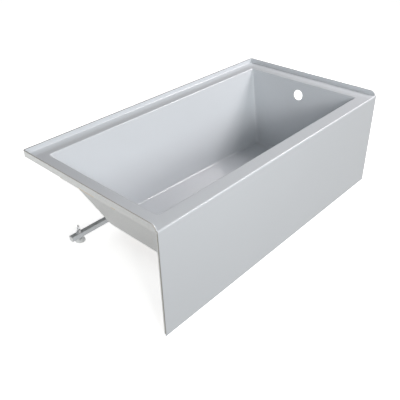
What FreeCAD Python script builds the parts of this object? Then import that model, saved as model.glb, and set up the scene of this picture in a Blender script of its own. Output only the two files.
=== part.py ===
import FreeCAD
import Part
import Sketcher
import math
import os
import re

# Alcove bathtub, 60 x 32 in, with an integral apron and a tile flange on three sides.
# Frame: X runs from the lounge end (-) to the drain end (+), Y from the apron (-) to the
# back wall (+), Z up from the floor.  The origin is on the floor, midway along and across.

DIMENSIONS = [
    # alias, millimetres or degrees, what it is
    ("overall_length", 1524.0, "outside length, wall to wall"),
    ("overall_width", 812.8, "outside width, apron to back wall"),
    ("deck_height", 495.0, "floor to the top of the deck"),
    ("flange_rise", 22.0, "tile flange above the deck"),
    ("acrylic", 4.0, "formed acrylic sheet"),
    ("laminate", 3.0, "glass-fibre laminate behind the sheet"),
    ("deck_front", 71.0, "deck width over the apron"),
    ("deck_back", 81.0, "deck width along the back wall"),
    ("deck_lounge", 68.0, "deck width at the lounge end"),
    ("deck_drain", 91.0, "deck width at the drain end"),
    ("long_wall_slope", 11.0, "front and back basin walls off plumb, degrees"),
    ("lounge_slope", 25.0, "lounge end wall off plumb, degrees"),
    ("drain_wall_slope", 5.5, "drain end wall off plumb, degrees"),
    ("lounge_rim_corner", 16.0, "basin corners of the lounge end in plan, at the deck"),
    ("lounge_foot_corner", 40.0, "basin corners of the lounge end in plan, at the loft's foot"),
    ("drain_rim_corner", 8.0, "basin corners of the drain end in plan, at the deck"),
    ("drain_foot_corner", 16.0, "basin corners of the drain end in plan, at the loft's foot"),
    ("loft_foot", 20.0, "height of the loft's lower outline"),
    ("drain_floor", 66.0, "height of the flat round the drain"),
    ("floor_over_drain", 69.0, "height of the sloped floor over the drain's centre"),
    ("floor_fall", 0.02, "fall of the floor towards the drain"),
    ("cove", 12.0, "radius where the basin's walls meet its floor"),
    ("rim_edge", 6.0, "radius from the deck into the basin"),
    ("apron_edge", 7.0, "radius from the deck into the apron"),
    ("flange_foot", 4.0, "radius from the deck up into the flange"),
    ("flange_corner", 8.0, "plan radius of the flange's back corners"),
    ("flange_end_radius", 24.0, "arc that rounds off each end of the flange"),
    ("flange_end_run", 31.5, "apron face to where the flange is at its full height"),
    ("apron_trim", 10.0, "floor to the laminate's trimmed edge"),
    ("drain_x", 508.0, "drain centre, 10 in from the drain end"),
    ("drain_radius", 25.4, "2 in waste outlet hole"),
    ("drain_dish", 43.0, "radius of the flat round the drain"),
    ("overflow_radius", 28.6, "2.25 in overflow hole"),
    ("overflow_height", 420.0, "height of the overflow hole's centre"),
    ("board_low_x", -470.0, "base board, lounge end"),
    ("board_high_x", 585.0, "base board, drain end"),
    ("board_half_width", 205.0, "base board, half its width"),
    ("board_thickness", 12.0, "base board"),
    ("board_slot", 60.0, "half width of the board's slot round the waste"),
    ("rail_low", 21.0, "underside of the steel frame"),
    ("rail_size", 25.0, "square tube of the frame, outside"),
    ("rail_wall", 1.5, "tube wall"),
    ("rail_corner", 2.5, "tube corner radius, outside"),
    ("side_rail_half_length", 665.0, "half length of each side rail"),
    ("side_rail_y", 330.0, "side rail centre line from the middle"),
    ("cross_rail_lounge_x", -400.0, "cross rail centre lines"),
    ("cross_rail_middle_x", -20.0, "cross rail centre lines"),
    ("cross_rail_drain_x", 400.0, "cross rail centre lines"),
    ("packer_half_length", 170.0, "half length of each timber packer"),
    ("screw_pitch_inner", 60.0, "board screws from the middle"),
    ("screw_pitch_outer", 150.0, "board screws from the middle"),
    ("screw_shank", 2.5, "wood screw shank radius"),
    ("screw_head", 5.0, "wood screw head radius"),
    ("screw_head_height", 3.0, "wood screw head height"),
    ("screw_bite", 8.0, "screw length in the base board"),
    ("screw_clearance", 0.05, "radial room round a screw"),
    ("batten_depth", 18.0, "height of a deck batten"),
    ("batten_width", 38.0, "width of a deck batten"),
    ("back_batten_gap", 19.0, "back flange's inner face to the back batten"),
    ("end_batten_gap", 12.0, "end of the tub to the end battens"),
    ("end_batten_half_length", 170.0, "half length of the end battens"),
    ("apron_rail_low", 12.0, "underside of the rail along the apron's foot"),
    ("apron_rail_high", 72.0, "top of the rail along the apron's foot"),
    ("apron_rail_half_length", 700.0, "half length of that rail"),
    ("stiffener_width", 60.0, "upright behind the apron"),
    ("stiffener_spread", 480.0, "outer uprights from the middle one"),
    ("tie_x", 300.0, "apron ties from the middle"),
    ("tie_width", 40.0, "apron tie, along the tub"),
    ("tie_thickness", 2.5, "apron tie plate"),
    ("tie_rise", 20.0, "apron tie's upright leg"),
    ("tie_screw_bite", 9.0, "length of the tie's screw in the rail"),
    ("tie_hole_bite", 13.0, "depth of the hole for that screw"),
    ("foot_spread", 620.0, "outer feet from the middle ones"),
    ("pad_radius", 25.0, "levelling foot pad"),
    ("pad_height", 10.0, "levelling foot pad"),
    ("pad_crown", 12.5, "radius of the pad's flat top"),
    ("pad_rim", 5.0, "height of the pad's flat edge"),
    ("socket_radius", 5.05, "swivel socket in the pad"),
    ("socket_floor", 3.0, "pad material under the swivel"),
    ("swivel_radius", 5.0, "swivel end of the rod"),
    ("swivel_room", 0.3, "room under the swivel end"),
    ("rod_radius", 6.0, "M12 rod"),
    ("rod_top", 86.0, "top of the rod"),
    ("rod_chamfer", 1.5, "lead on the rod's top"),
    ("collar_flats", 17.0, "hexagon collar across flats"),
    ("collar_height", 5.0, "hexagon collar"),
    ("driver_slot", 2.0, "screwdriver slot in the rod's top"),
    ("nut_flats", 18.0, "M12 nut across flats"),
    ("nut_bore", 6.05, "M12 nut bore, thread drawn as a plain bore"),
    ("weld_nut_height", 10.0, "nut welded to the side rail"),
    ("lock_nut_height", 7.0, "nut that locks the rod"),
    ("nut_crown", 8.0, "radius of a nut's flat top, inside its turned corners"),
    ("nut_corner_drop", 1.2, "how far a turned corner comes down at the hexagon's points"),
    ("rod_hole", 6.6, "clearance hole for the rod in the side rail"),
    ("cap_lip", 2.0, "plastic cap outside the tube's end"),
    ("cap_depth", 12.0, "plastic cap inside the tube"),
]

SIDES = {"front": -1, "back": 1}
STATIONS = {"lounge": -1, "middle": 0, "drain": 1}

doc = FreeCAD.newDocument("AlcoveBathtub")
sheet = doc.addObject("Spreadsheet::Sheet", "Dims")
for row, (alias, size, note) in enumerate(DIMENSIONS, start=1):
    sheet.set("A%d" % row, note)
    sheet.set("B%d" % row, str(size))
    sheet.setAlias("B%d" % row, alias)
doc.recompute()

ALIASES = {alias for alias, size, note in DIMENSIONS}
pieces = []

# How a sketch numbers its own axes and the points of a line, an arc or a circle.
HORIZONTAL_AXIS = -1
VERTICAL_AXIS = -2
START, END, CENTRE = 1, 2, 3
ORIGIN_POINT = (-1, START)

NEXT_TO_NOTHING = 1e-9    # a distance that counts as nought
LEAST_CUT = 1e-3          # cubic millimetres that a cut has to take away
EDGE_MARGIN = 0.02        # how far an edge may lie from the place it is picked by


# ---------------------------------------------------------------- expressions

def bound(text):
    """An expression on the sheet's aliases, as the document's objects write it."""
    return re.sub(r"[a-z_]{3,}", lambda word: "Dims." + word.group() if word.group() in ALIASES
                  else word.group(), text)


def number(text):
    """The value of an expression on the sheet's aliases."""
    value = sheet.evalExpression(bound(text))
    return float(getattr(value, "Value", value))


def plus(*terms):
    """The sum of some expressions, as an expression."""
    return " + ".join("(%s)" % term for term in terms)


def minus(first, second):
    """One expression less another."""
    return "(%s) - (%s)" % (first, second)


HALF_LENGTH = "overall_length / 2"
HALF_WIDTH = "overall_width / 2"
LEFT_END = "-(overall_length / 2)"
FRONT_FACE = "-(overall_width / 2)"
BASIN_MIDDLE = "(deck_front - deck_back) / 2"
SKIN = "acrylic + laminate"
RAIL_MIDDLE = "rail_low + rail_size / 2"
RAIL_TOP = "rail_low + rail_size"


def floor_at(x):
    """Height of the sloped basin floor over a place along the tub."""
    return "floor_over_drain + floor_fall * (drain_x - (%s))" % x


def board_under(x):
    """Height of the base board's underside over a place along the tub."""
    return minus(floor_at(x), plus(SKIN, "board_thickness"))


# ---------------------------------------------------------------- sketches

def origin_plane(body, role):
    """One of a body's own origin planes."""
    return next(part for part in body.Origin.OriginFeatures if part.Role == role)


def new_sketch(body, name, role, offset="0"):
    """A sketch on an origin plane of the body, moved along the plane's normal."""
    sketch = body.newObject("Sketcher::SketchObject", name)
    sketch.AttachmentSupport = [(origin_plane(body, role), "")]
    sketch.MapMode = "FlatFace"
    sketch.AttachmentOffset = FreeCAD.Placement(FreeCAD.Vector(0, 0, number(offset)), FreeCAD.Rotation())
    sketch.setExpression("AttachmentOffset.Base.z", bound(offset))
    return sketch


def drive(sketch, name, kind, start, end, expression):
    """A named distance between two (geometry, point) pairs, driven by an expression."""
    value = number(expression)
    if abs(value) < NEXT_TO_NOTHING:
        axis = VERTICAL_AXIS if kind == "DistanceX" else HORIZONTAL_AXIS
        sketch.addConstraint(Sketcher.Constraint("PointOnObject", *end, axis))
        return
    if value < 0:
        start, end, expression = end, start, "-(%s)" % expression
    index = sketch.addConstraint(Sketcher.Constraint(kind, *start, *end, abs(value)))
    sketch.renameConstraint(index, name)
    sketch.setExpression("Constraints." + name, bound(expression))


def drive_radius(sketch, name, curve, radius):
    """A circle's or an arc's radius, driven by an expression."""
    index = sketch.addConstraint(Sketcher.Constraint("Radius", curve, number(radius)))
    sketch.renameConstraint(index, name + "_radius")
    sketch.setExpression("Constraints.%s_radius" % name, bound(radius))


def pin_point(sketch, name, point, x, y):
    """Hold a (geometry, point) pair at two driven coordinates."""
    drive(sketch, name + "_x", "DistanceX", ORIGIN_POINT, point, x)
    drive(sketch, name + "_y", "DistanceY", ORIGIN_POINT, point, y)


def add_polygon(sketch, name, corners):
    """A closed polygon whose corners are pairs of expressions."""
    places = [FreeCAD.Vector(number(x), number(y), 0) for x, y in corners]
    first = sketch.GeometryCount
    count = len(corners)
    for index in range(count):
        sketch.addGeometry(Part.LineSegment(places[index], places[(index + 1) % count]), False)
    for index in range(count):
        follower = first + (index + 1) % count
        sketch.addConstraint(Sketcher.Constraint("Coincident", first + index, END, follower, START))
    for index, (x, y) in enumerate(corners):
        pin_point(sketch, "%s%d" % (name, index), (first + index, START), x, y)


def add_rectangle(sketch, name, low, high):
    """A rectangle between two corners given as pairs of expressions."""
    add_polygon(sketch, name, [low, (high[0], low[1]), high, (low[0], high[1])])


def add_circle(sketch, name, centre, radius):
    """A circle at a pair of expressions."""
    place = FreeCAD.Vector(number(centre[0]), number(centre[1]), 0)
    index = sketch.addGeometry(Part.Circle(place, FreeCAD.Vector(0, 0, 1), number(radius)), False)
    pin_point(sketch, name, (index, CENTRE), *centre)
    drive_radius(sketch, name, index, radius)


def add_rounded_rectangle(sketch, name, low, high, radius, left_radius=None):
    """A rectangle with rounded corners, as four tangent lines and arcs.

    The radius is that of all four corners, or of the right pair if the left pair has its own.
    Lines and arcs take turns from the front line on: front, right, back and left are the lines
    first, first + 2, first + 4 and first + 6, each with the corner's arc after it.
    """
    x0, y0, x1, y1, r, q = (number(text) for text in (*low, *high, radius, left_radius or radius))
    first = sketch.GeometryCount
    radii = [r, r, q, q]
    corners = [(x1 - r, y0 + r), (x1 - r, y1 - r), (x0 + q, y1 - q), (x0 + q, y0 + q)]
    starts = [(x0 + q, y0), (x1, y0 + r), (x1 - r, y1), (x0, y1 - q)]
    ends = [(x1 - r, y0), (x1, y1 - r), (x0 + q, y1), (x0, y0 + q)]
    for side in range(4):
        line = Part.LineSegment(FreeCAD.Vector(*starts[side], 0), FreeCAD.Vector(*ends[side], 0))
        circle = Part.Circle(FreeCAD.Vector(*corners[side], 0), FreeCAD.Vector(0, 0, 1), radii[side])
        turn = (side - 1) * math.pi / 2
        sketch.addGeometry(line, False)
        sketch.addGeometry(Part.ArcOfCircle(circle, turn, turn + math.pi / 2), False)
    front, right, back, left = (first + 2 * side for side in range(4))
    curves = list(range(first, first + 8))
    for curve, follower in zip(curves, curves[1:] + curves[:1]):
        sketch.addConstraint(Sketcher.Constraint("Tangent", curve, END, follower, START))
    for line in (front, back):
        sketch.addConstraint(Sketcher.Constraint("Horizontal", line))
    for line in (right, left):
        sketch.addConstraint(Sketcher.Constraint("Vertical", line))
    sketch.addConstraint(Sketcher.Constraint("Equal", front + 1, right + 1))
    sketch.addConstraint(Sketcher.Constraint("Equal", back + 1, left + 1))
    drive_radius(sketch, name + "_right", front + 1, radius)
    drive_radius(sketch, name + "_left", back + 1, left_radius or radius)
    drive(sketch, name + "_front", "DistanceY", ORIGIN_POINT, (front, START), low[1])
    drive(sketch, name + "_right", "DistanceX", ORIGIN_POINT, (right, START), high[0])
    drive(sketch, name + "_back", "DistanceY", ORIGIN_POINT, (back, START), high[1])
    drive(sketch, name + "_left", "DistanceX", ORIGIN_POINT, (left, START), low[0])


# ---------------------------------------------------------------- features

def new_body(name):
    """An empty PartDesign body."""
    return doc.addObject("PartDesign::Body", name)


def pad(body, sketch, length):
    """Pad a sketch along its normal."""
    feature = body.newObject("PartDesign::Pad", sketch.Name + "_pad")
    feature.Profile = sketch
    feature.setExpression("Length", bound(length))
    doc.recompute()


def pocket(body, sketch, length):
    """Cut a sketch against its normal, and make sure that something went."""
    before = body.Shape.Volume
    feature = body.newObject("PartDesign::Pocket", sketch.Name + "_pocket")
    feature.Profile = sketch
    feature.setExpression("Length", bound(length))
    doc.recompute()
    if not feature.Shape.Volume < before - LEAST_CUT:
        raise RuntimeError(feature.Name + " cuts nothing")
    return feature


def revolve(body, sketch, cut=False):
    """Turn a sketch about its vertical axis, to add or to cut."""
    kind = "PartDesign::Groove" if cut else "PartDesign::Revolution"
    feature = body.newObject(kind, sketch.Name + "_turn")
    feature.Profile = sketch
    feature.ReferenceAxis = (sketch, ["V_Axis"])
    feature.Angle = 360.0
    doc.recompute()


def fillet(body, base, chooser, radius):
    """Round the edges of a body's feature that the chooser picks."""
    names = ["Edge%d" % (index + 1) for index, edge in enumerate(base.Shape.Edges) if chooser(edge)]
    if not names:
        raise RuntimeError("no edge to round on " + base.Name)
    feature = body.newObject("PartDesign::Fillet", base.Name + "_round")
    feature.Base = (base, names)
    feature.setExpression("Radius", bound(radius))
    doc.recompute()
    return feature


def box(name, low, high):
    """A Part::Box between two corners given as triples of expressions."""
    item = doc.addObject("Part::Box", name)
    for axis, side, start, end in zip("xyz", ("Length", "Width", "Height"), low, high):
        item.setExpression("Placement.Base." + axis, bound(start))
        item.setExpression(side, bound(minus(end, start)))
    return item


def cylinder(name, base, radius, height, turn=None):
    """A Part::Cylinder from a base point; turn swings its axis from +Z."""
    item = doc.addObject("Part::Cylinder", name)
    if turn is not None:
        item.Placement = FreeCAD.Placement(FreeCAD.Vector(), turn)
    for axis, start in zip("xyz", base):
        item.setExpression("Placement.Base." + axis, bound(start))
    item.setExpression("Radius", bound(radius))
    item.setExpression("Height", bound(height))
    return item


def fuse(name, shapes):
    """All the shapes as one."""
    item = doc.addObject("Part::MultiFuse", name)
    item.Shapes = shapes
    item.Refine = True
    doc.recompute()
    return item


def group(name, shapes):
    """Separate solids that share a node."""
    item = doc.addObject("Part::Compound", name)
    item.Links = shapes
    doc.recompute()
    return item


def cut(name, base, *tools):
    """The base without the tools."""
    for index, tool in enumerate(tools):
        last = index == len(tools) - 1
        item = doc.addObject("Part::Cut", name if last else "%s_less%d" % (name, index + 1))
        item.Base = base
        item.Tool = tool
        item.Refine = True
        doc.recompute()
        base = item
    return base


def round_edges(name, base, chooser, radius):
    """Round the edges of a Part shape that the chooser picks."""
    doc.recompute()
    size = number(radius)
    item = doc.addObject("Part::Fillet", name)
    item.Base = base
    item.Edges = [(index + 1, size, size) for index, edge in enumerate(base.Shape.Edges) if chooser(edge)]
    doc.recompute()
    return item


def keep(label, item):
    """Name a finished piece; the label names its file."""
    item.Label = label
    pieces.append(item)
    return item


def flat_edge(edge, height):
    """Whether an edge lies at one height."""
    bounds = edge.BoundBox
    return abs(bounds.ZMin - height) < EDGE_MARGIN and abs(bounds.ZMax - height) < EDGE_MARGIN


# ---------------------------------------------------------------- basin

def basin_reach(slope, depth):
    """How far a wall has come in by a depth below the deck."""
    return "(%s) * tan(%s)" % (depth, slope)


def basin_body(name, skin):
    """The basin's space, or that space with a skin all round, open and flush at the deck."""
    body = new_body(name)
    walls = {
        "left": (plus(LEFT_END, "deck_lounge"), "lounge_slope", -1),
        "right": (minus(HALF_LENGTH, "deck_drain"), "drain_wall_slope", 1),
        "front": (plus(FRONT_FACE, "deck_front"), "long_wall_slope", -1),
        "back": (minus(HALF_WIDTH, "deck_back"), "long_wall_slope", 1),
    }

    def outline(title, height, lounge_radius, drain_radius):
        """The basin's rounded outline at one height, larger by the skin."""
        depth = minus("deck_height", height)
        side = {}
        for wall, (rim, slope, sign) in walls.items():
            shift = minus("(%s) / cos(%s)" % (skin, slope), basin_reach(slope, depth))
            side[wall] = plus(rim, "%d * (%s)" % (sign, shift))
        sketch = new_sketch(body, "%s_%s" % (name, title), "XY_Plane", height)
        add_rounded_rectangle(sketch, "side", (side["left"], side["front"]),
                              (side["right"], side["back"]), plus(drain_radius, skin),
                              plus(lounge_radius, skin))
        return sketch

    rim = outline("rim", "deck_height", "lounge_rim_corner", "drain_rim_corner")
    foot = outline("foot", "loft_foot", "lounge_foot_corner", "drain_foot_corner")
    doc.recompute()
    loft = body.newObject("PartDesign::AdditiveLoft", name + "_walls")
    loft.Profile = rim
    loft.Sections = [foot]
    loft.Ruled = True
    doc.recompute()

    # All below the sloping floor goes, well past both ends of the tub and from side to side.
    below = new_sketch(body, name + "_under_floor", "XZ_Plane", "overall_width")
    left, right = "-overall_length", "overall_length"
    add_polygon(below, "floor", [
        (left, "-deck_height"), (right, "-deck_height"),
        (right, minus(floor_at(right), skin)), (left, minus(floor_at(left), skin))])
    doc.recompute()
    floored = pocket(body, below, "2 * overall_width")

    lowest = min(floored.Shape.Faces, key=lambda face: face.CenterOfMass.z)
    floor_edges = {edge.hashCode() for edge in lowest.Edges}
    fillet(body, floored, lambda edge: edge.hashCode() in floor_edges, plus("cove", skin))

    dish = new_sketch(body, name + "_dish", "XY_Plane", minus("drain_floor", skin))
    add_circle(dish, "dish", ("drain_x", "0"), plus("drain_dish", skin))
    doc.recompute()
    pad(body, dish, plus("cove", skin))
    return body


def flange_ends(body, name):
    """The space in front of the flange's two ends, seen from the tub's end.

    An arc runs from the crown of the flange down to its foot on the deck, and straight lines go
    round outside it: up, forward, down past the deck, back to the apron's face and up to the deck.
    """
    sketch = new_sketch(body, name + "_ends", "YZ_Plane", "overall_length")
    middle = (plus(FRONT_FACE, "flange_end_run"), "deck_height + flange_rise - flange_end_radius")
    drop = "flange_end_radius - flange_rise"
    foot = (minus(middle[0], "sqrt(flange_end_radius^2 - (%s)^2)" % drop), "deck_height")
    crown = (middle[0], "deck_height + flange_rise")
    above = "deck_height + 2 * flange_rise"
    below = "deck_height / 2"
    outside = plus(FRONT_FACE, "-flange_end_run")
    corners = [crown, (crown[0], above), (outside, above), (outside, below), (FRONT_FACE, below),
               (FRONT_FACE, "deck_height"), foot]
    points = [FreeCAD.Vector(number(y), number(z), 0) for y, z in corners]
    hub = FreeCAD.Vector(number(middle[0]), number(middle[1]), 0)
    foot_turn, crown_turn = (math.atan2(point.y - hub.y, point.x - hub.x)
                             for point in (points[-1], points[0]))
    ring = Part.Circle(hub, FreeCAD.Vector(0, 0, 1), number("flange_end_radius"))
    arc = sketch.addGeometry(Part.ArcOfCircle(ring, crown_turn, foot_turn), False)
    pin_point(sketch, "middle", (arc, CENTRE), *middle)
    drive_radius(sketch, "end", arc, "flange_end_radius")

    lines = [sketch.addGeometry(Part.LineSegment(start, end), False)
             for start, end in zip(points, points[1:])]
    rise, forward, fall, underside, front, deck = lines
    for line, follower in zip(lines, lines[1:]):
        sketch.addConstraint(Sketcher.Constraint("Coincident", line, END, follower, START))
    for line in (rise, fall, front):
        sketch.addConstraint(Sketcher.Constraint("Vertical", line))
    for line in (forward, underside, deck):
        sketch.addConstraint(Sketcher.Constraint("Horizontal", line))
    sketch.addConstraint(Sketcher.Constraint("Coincident", arc, START, rise, START))
    sketch.addConstraint(Sketcher.Constraint("Coincident", arc, END, deck, END))
    pin_point(sketch, "outer", (fall, START), outside, above)
    pin_point(sketch, "inner", (front, START), FRONT_FACE, below)
    drive(sketch, "deck_level", "DistanceY", ORIGIN_POINT, (deck, START), "deck_height")
    doc.recompute()
    return sketch


def rim_body(name, inset, low, top, wall, corner):
    """Deck plate with the tile flange round three sides, inset from the tub's envelope.

    The plate's rounded outline runs past the apron's face, and the cut that rounds off the
    flange's ends brings it back there, so that the deck's front corners are square.
    """
    body = new_body(name)
    outline = new_sketch(body, name + "_outline", "XY_Plane", low)
    left = plus(LEFT_END, inset)
    right = minus(HALF_LENGTH, inset)
    front = minus(FRONT_FACE, "2 * flange_corner")
    back = minus(HALF_WIDTH, inset)
    add_rounded_rectangle(outline, "rim", (left, front), (right, back), corner)
    doc.recompute()
    pad(body, outline, minus(top, low))

    inside = new_sketch(body, name + "_inside", "XY_Plane", top)
    add_rounded_rectangle(inside, "inside", (plus(left, wall), front),
                          (minus(right, wall), minus(back, wall)), minus(corner, wall))
    doc.recompute()
    pocket(body, inside, minus(top, "deck_height"))
    ended = pocket(body, flange_ends(body, name), "2 * overall_length")
    fillet(body, ended, lambda edge: flat_edge(edge, number("deck_height")) and edge.BoundBox.YMax > 0,
           "flange_foot")
    return body


def apron_box(name, inset, low, front, back):
    """An upright plate the length of the deck."""
    return box(name, (plus(LEFT_END, inset), plus(FRONT_FACE, front), low),
               (minus(HALF_LENGTH, inset), plus(FRONT_FACE, back), "deck_height - acrylic / 2"))


space = basin_body("basin_space", "0")
lining = basin_body("basin_lining", "acrylic")
backing = basin_body("basin_backing", SKIN)

drain_cutter = cylinder("drain_cutter", ("drain_x", "0", "0"), "drain_radius", "deck_height / 2")
overflow_x = minus("overall_length / 2 - deck_drain",
                   basin_reach("drain_wall_slope", "deck_height - overflow_height"))
overflow_turn = FreeCAD.Rotation(FreeCAD.Vector(0, 1, 0), 90 + number("drain_wall_slope"))
overflow_cutter = cylinder(
    "overflow_cutter",
    (minus(overflow_x, "deck_drain * cos(drain_wall_slope)"), "0",
     "overflow_height + deck_drain * sin(drain_wall_slope)"),
    "overflow_radius", "2 * deck_drain", overflow_turn)

acrylic_rim = rim_body("acrylic_rim", "laminate", "deck_height - acrylic",
                       "deck_height + flange_rise", "acrylic", "flange_corner")
acrylic_apron = apron_box("acrylic_apron", "laminate", "0", "0", "acrylic")
acrylic_blank = fuse("acrylic_blank", [acrylic_rim, acrylic_apron, lining])

formed = cut("formed_sheet", acrylic_blank, space, drain_cutter, overflow_cutter)
deck_level = number("deck_height")
front_face = number(FRONT_FACE)
rim_zone_x = number("overall_length / 2 - deck_lounge / 2")
rim_zone_y = number("overall_width / 2 - deck_front / 2")


def basin_rim_edge(edge):
    """Edges where the deck turns down into the basin."""
    middle = edge.BoundBox.Center
    return flat_edge(edge, deck_level) and abs(middle.x) < rim_zone_x and abs(middle.y) < rim_zone_y


def apron_top_edge(edge):
    """The edge where the deck turns down into the apron."""
    return flat_edge(edge, deck_level) and abs(edge.BoundBox.YMax - front_face) < EDGE_MARGIN


rolled_rim = round_edges("rolled_rim", formed, basin_rim_edge, "rim_edge")
keep("acrylic_shell", round_edges("rolled_apron", rolled_rim, apron_top_edge, "apron_edge"))


# ---------------------------------------------------------------- laminate

laminate_rim = rim_body("laminate_rim", "0", minus("deck_height", SKIN),
                        "deck_height + flange_rise", SKIN, "flange_corner + laminate")
laminate_apron = apron_box("laminate_apron", "0", "apron_trim", "acrylic / 2", SKIN)
laminate_blank = fuse("laminate_blank", [laminate_rim, laminate_apron, backing])
keep("fibreglass_backing",
     cut("backing_skin", laminate_blank, acrylic_blank, drain_cutter, overflow_cutter))


# ---------------------------------------------------------------- base board, packers and screws

TILT = FreeCAD.Rotation(FreeCAD.Vector(0, 1, 0), math.degrees(math.atan(number("floor_fall"))))


def tilted_slab(name, x_low, x_high, half_width, thickness, above):
    """A slab that lies parallel to the basin's floor, as thick as given when measured upright.

    above gives the height of its top face over a place along the tub.
    """
    steepness = "(1 + floor_fall * floor_fall)"
    slab = doc.addObject("Part::Box", name)
    slab.Placement = FreeCAD.Placement(FreeCAD.Vector(), TILT)
    slab.setExpression("Length", bound("(%s) * sqrt(%s)" % (minus(x_high, x_low), steepness)))
    slab.setExpression("Width", bound("2 * (%s)" % half_width))
    slab.setExpression("Height", bound("(%s) / sqrt(%s)" % (thickness, steepness)))
    drop = "(%s) / %s" % (thickness, steepness)
    slab.setExpression("Placement.Base.x", bound(minus(x_low, "floor_fall * %s" % drop)))
    slab.setExpression("Placement.Base.y", bound(minus(BASIN_MIDDLE, half_width)))
    slab.setExpression("Placement.Base.z", bound(minus(above(x_low), drop)))
    doc.recompute()
    return slab


CROSS_RAILS = {station: "cross_rail_%s_x" % station for station in STATIONS}
SCREW_PLACES = ("-screw_pitch_outer", "-screw_pitch_inner", "screw_pitch_inner", "screw_pitch_outer")


def backing_under(x):
    """Height of the laminate's underside over a place along the tub."""
    return minus(floor_at(x), SKIN)


def board_shank(name, x, y, extra):
    """The shank of a screw up through a cross rail and its packer into the base board."""
    top = plus(board_under(x), "screw_bite", extra)
    return cylinder(name, (x, y, "rail_low"), plus("screw_shank", extra), minus(top, "rail_low"))


board_screws = []
board_holes = []
for station, x in CROSS_RAILS.items():
    for place, y in enumerate(SCREW_PLACES):
        name = "%s_screw%d" % (station, place)
        shank = board_shank(name + "_shank", x, y, "0")
        head = cylinder(name + "_head", (x, y, "rail_low - screw_head_height"), "screw_head",
                        "screw_head_height")
        board_screws.append(fuse(name, [shank, head]))
        board_holes.append(board_shank(name + "_hole", x, y, "screw_clearance"))
screw_holes = group("board_screw_holes", board_holes)
keep("base_board_screws", group("board_screw_set", board_screws))

board_blank = tilted_slab("board_blank", "board_low_x", "board_high_x", "board_half_width",
                          "board_thickness", backing_under)
slot_floor = "rail_low"
slot_top = "floor_over_drain"
slot_round = cylinder("slot_round", ("drain_x", "0", slot_floor), "board_slot", minus(slot_top, slot_floor))
slot_run = box("slot_run", ("drain_x", "-board_slot", slot_floor),
               ("overall_length / 2", "board_slot", slot_top))
keep("base_board", cut("board_cut", board_blank, slot_round, slot_run, screw_holes))

for station, x in CROSS_RAILS.items():
    half = "rail_size / 2"
    blank = box(station + "_packer_blank",
                (minus(x, half), "-packer_half_length", RAIL_TOP),
                (plus(x, half), "packer_half_length", "floor_over_drain + rail_size"))
    over = tilted_slab(station + "_packer_over", minus(x, "2 * rail_size"), plus(x, "2 * rail_size"),
                       "overall_width / 2", "4 * rail_size",
                       lambda place: plus(board_under(place), "4 * rail_size"))
    keep("packer_" + station, cut(station + "_packer_cut", blank, over, screw_holes))


# ---------------------------------------------------------------- steel frame

def square_tube(name, role, half_length, across, up):
    """A square tube centred along the normal of a plane; across and up are its centre line."""
    body = new_body(name)
    sketch = new_sketch(body, name + "_section", role, "-(%s)" % half_length)
    half = "rail_size / 2"
    bore = "rail_size / 2 - rail_wall"
    add_rounded_rectangle(sketch, "wall", (minus(across, half), minus(up, half)),
                          (plus(across, half), plus(up, half)), "rail_corner")
    add_rounded_rectangle(sketch, "bore", (minus(across, bore), minus(up, bore)),
                          (plus(across, bore), plus(up, bore)), "rail_corner - rail_wall")
    doc.recompute()
    pad(body, sketch, "2 * (%s)" % half_length)
    return body


def drill(body, name, centres, radius, depth="3 * rail_size"):
    """Upright holes down into a tube, right through it unless the depth says otherwise."""
    sketch = new_sketch(body, name, "XY_Plane", plus(RAIL_TOP, "rail_size"))
    for index, centre in enumerate(centres):
        add_circle(sketch, "hole%d" % index, centre, radius)
    doc.recompute()
    pocket(body, sketch, depth)


FOOT_PLACES = {station: "%d * foot_spread" % sign for station, sign in STATIONS.items()}
RAIL_PLACES = {side: "%d * side_rail_y" % sign for side, sign in SIDES.items()}
TIE_PLACES = {"lounge": "-tie_x", "drain": "tie_x"}

for side, y in RAIL_PLACES.items():
    rail = square_tube("%s_side_rail" % side, "YZ_Plane", "side_rail_half_length", y, RAIL_MIDDLE)
    drill(rail, side + "_rod_holes", [(x, y) for x in FOOT_PLACES.values()], "rod_hole")
    if side == "front":
        drill(rail, side + "_tie_holes", [(x, y) for x in TIE_PLACES.values()],
              "screw_shank + screw_clearance", "3 * rail_size / 2")
    keep("%s_side_rail" % side, rail)

for station, x in CROSS_RAILS.items():
    rail = square_tube("%s_cross_rail" % station, "XZ_Plane", "side_rail_y - rail_size / 2", x, RAIL_MIDDLE)
    drill(rail, station + "_screw_holes", [(x, y) for y in SCREW_PLACES], "screw_shank + screw_clearance")
    keep("cross_rail_" + station, rail)

caps = []
for side, y in RAIL_PLACES.items():
    for end, sign in (("lounge", -1), ("drain", 1)):
        name = "%s_%s_cap" % (side, end)
        half = "rail_size / 2"
        bore = "rail_size / 2 - rail_wall - screw_clearance"
        rail_end = "%d * side_rail_half_length" % sign
        reaches = {"lip": (rail_end, plus(rail_end, "%d * cap_lip" % sign), half),
                   "plug": (plus(rail_end, "%d * -cap_depth" % sign), rail_end, bore)}
        solids = []
        for title, (start, end_x, reach) in reaches.items():
            low, high = (start, end_x) if number(start) < number(end_x) else (end_x, start)
            solids.append(box("%s_%s" % (name, title), (low, minus(y, reach), minus(RAIL_MIDDLE, reach)),
                              (high, plus(y, reach), plus(RAIL_MIDDLE, reach))))
        plug = round_edges(name + "_round", solids[1],
                           lambda edge: edge.BoundBox.XLength > number("cap_depth") / 2, "rail_corner")
        caps.append(fuse(name, [solids[0], plug]))
keep("rail_end_caps", group("rail_end_cap_set", caps))


# ---------------------------------------------------------------- timber under the deck, behind the apron

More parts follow.
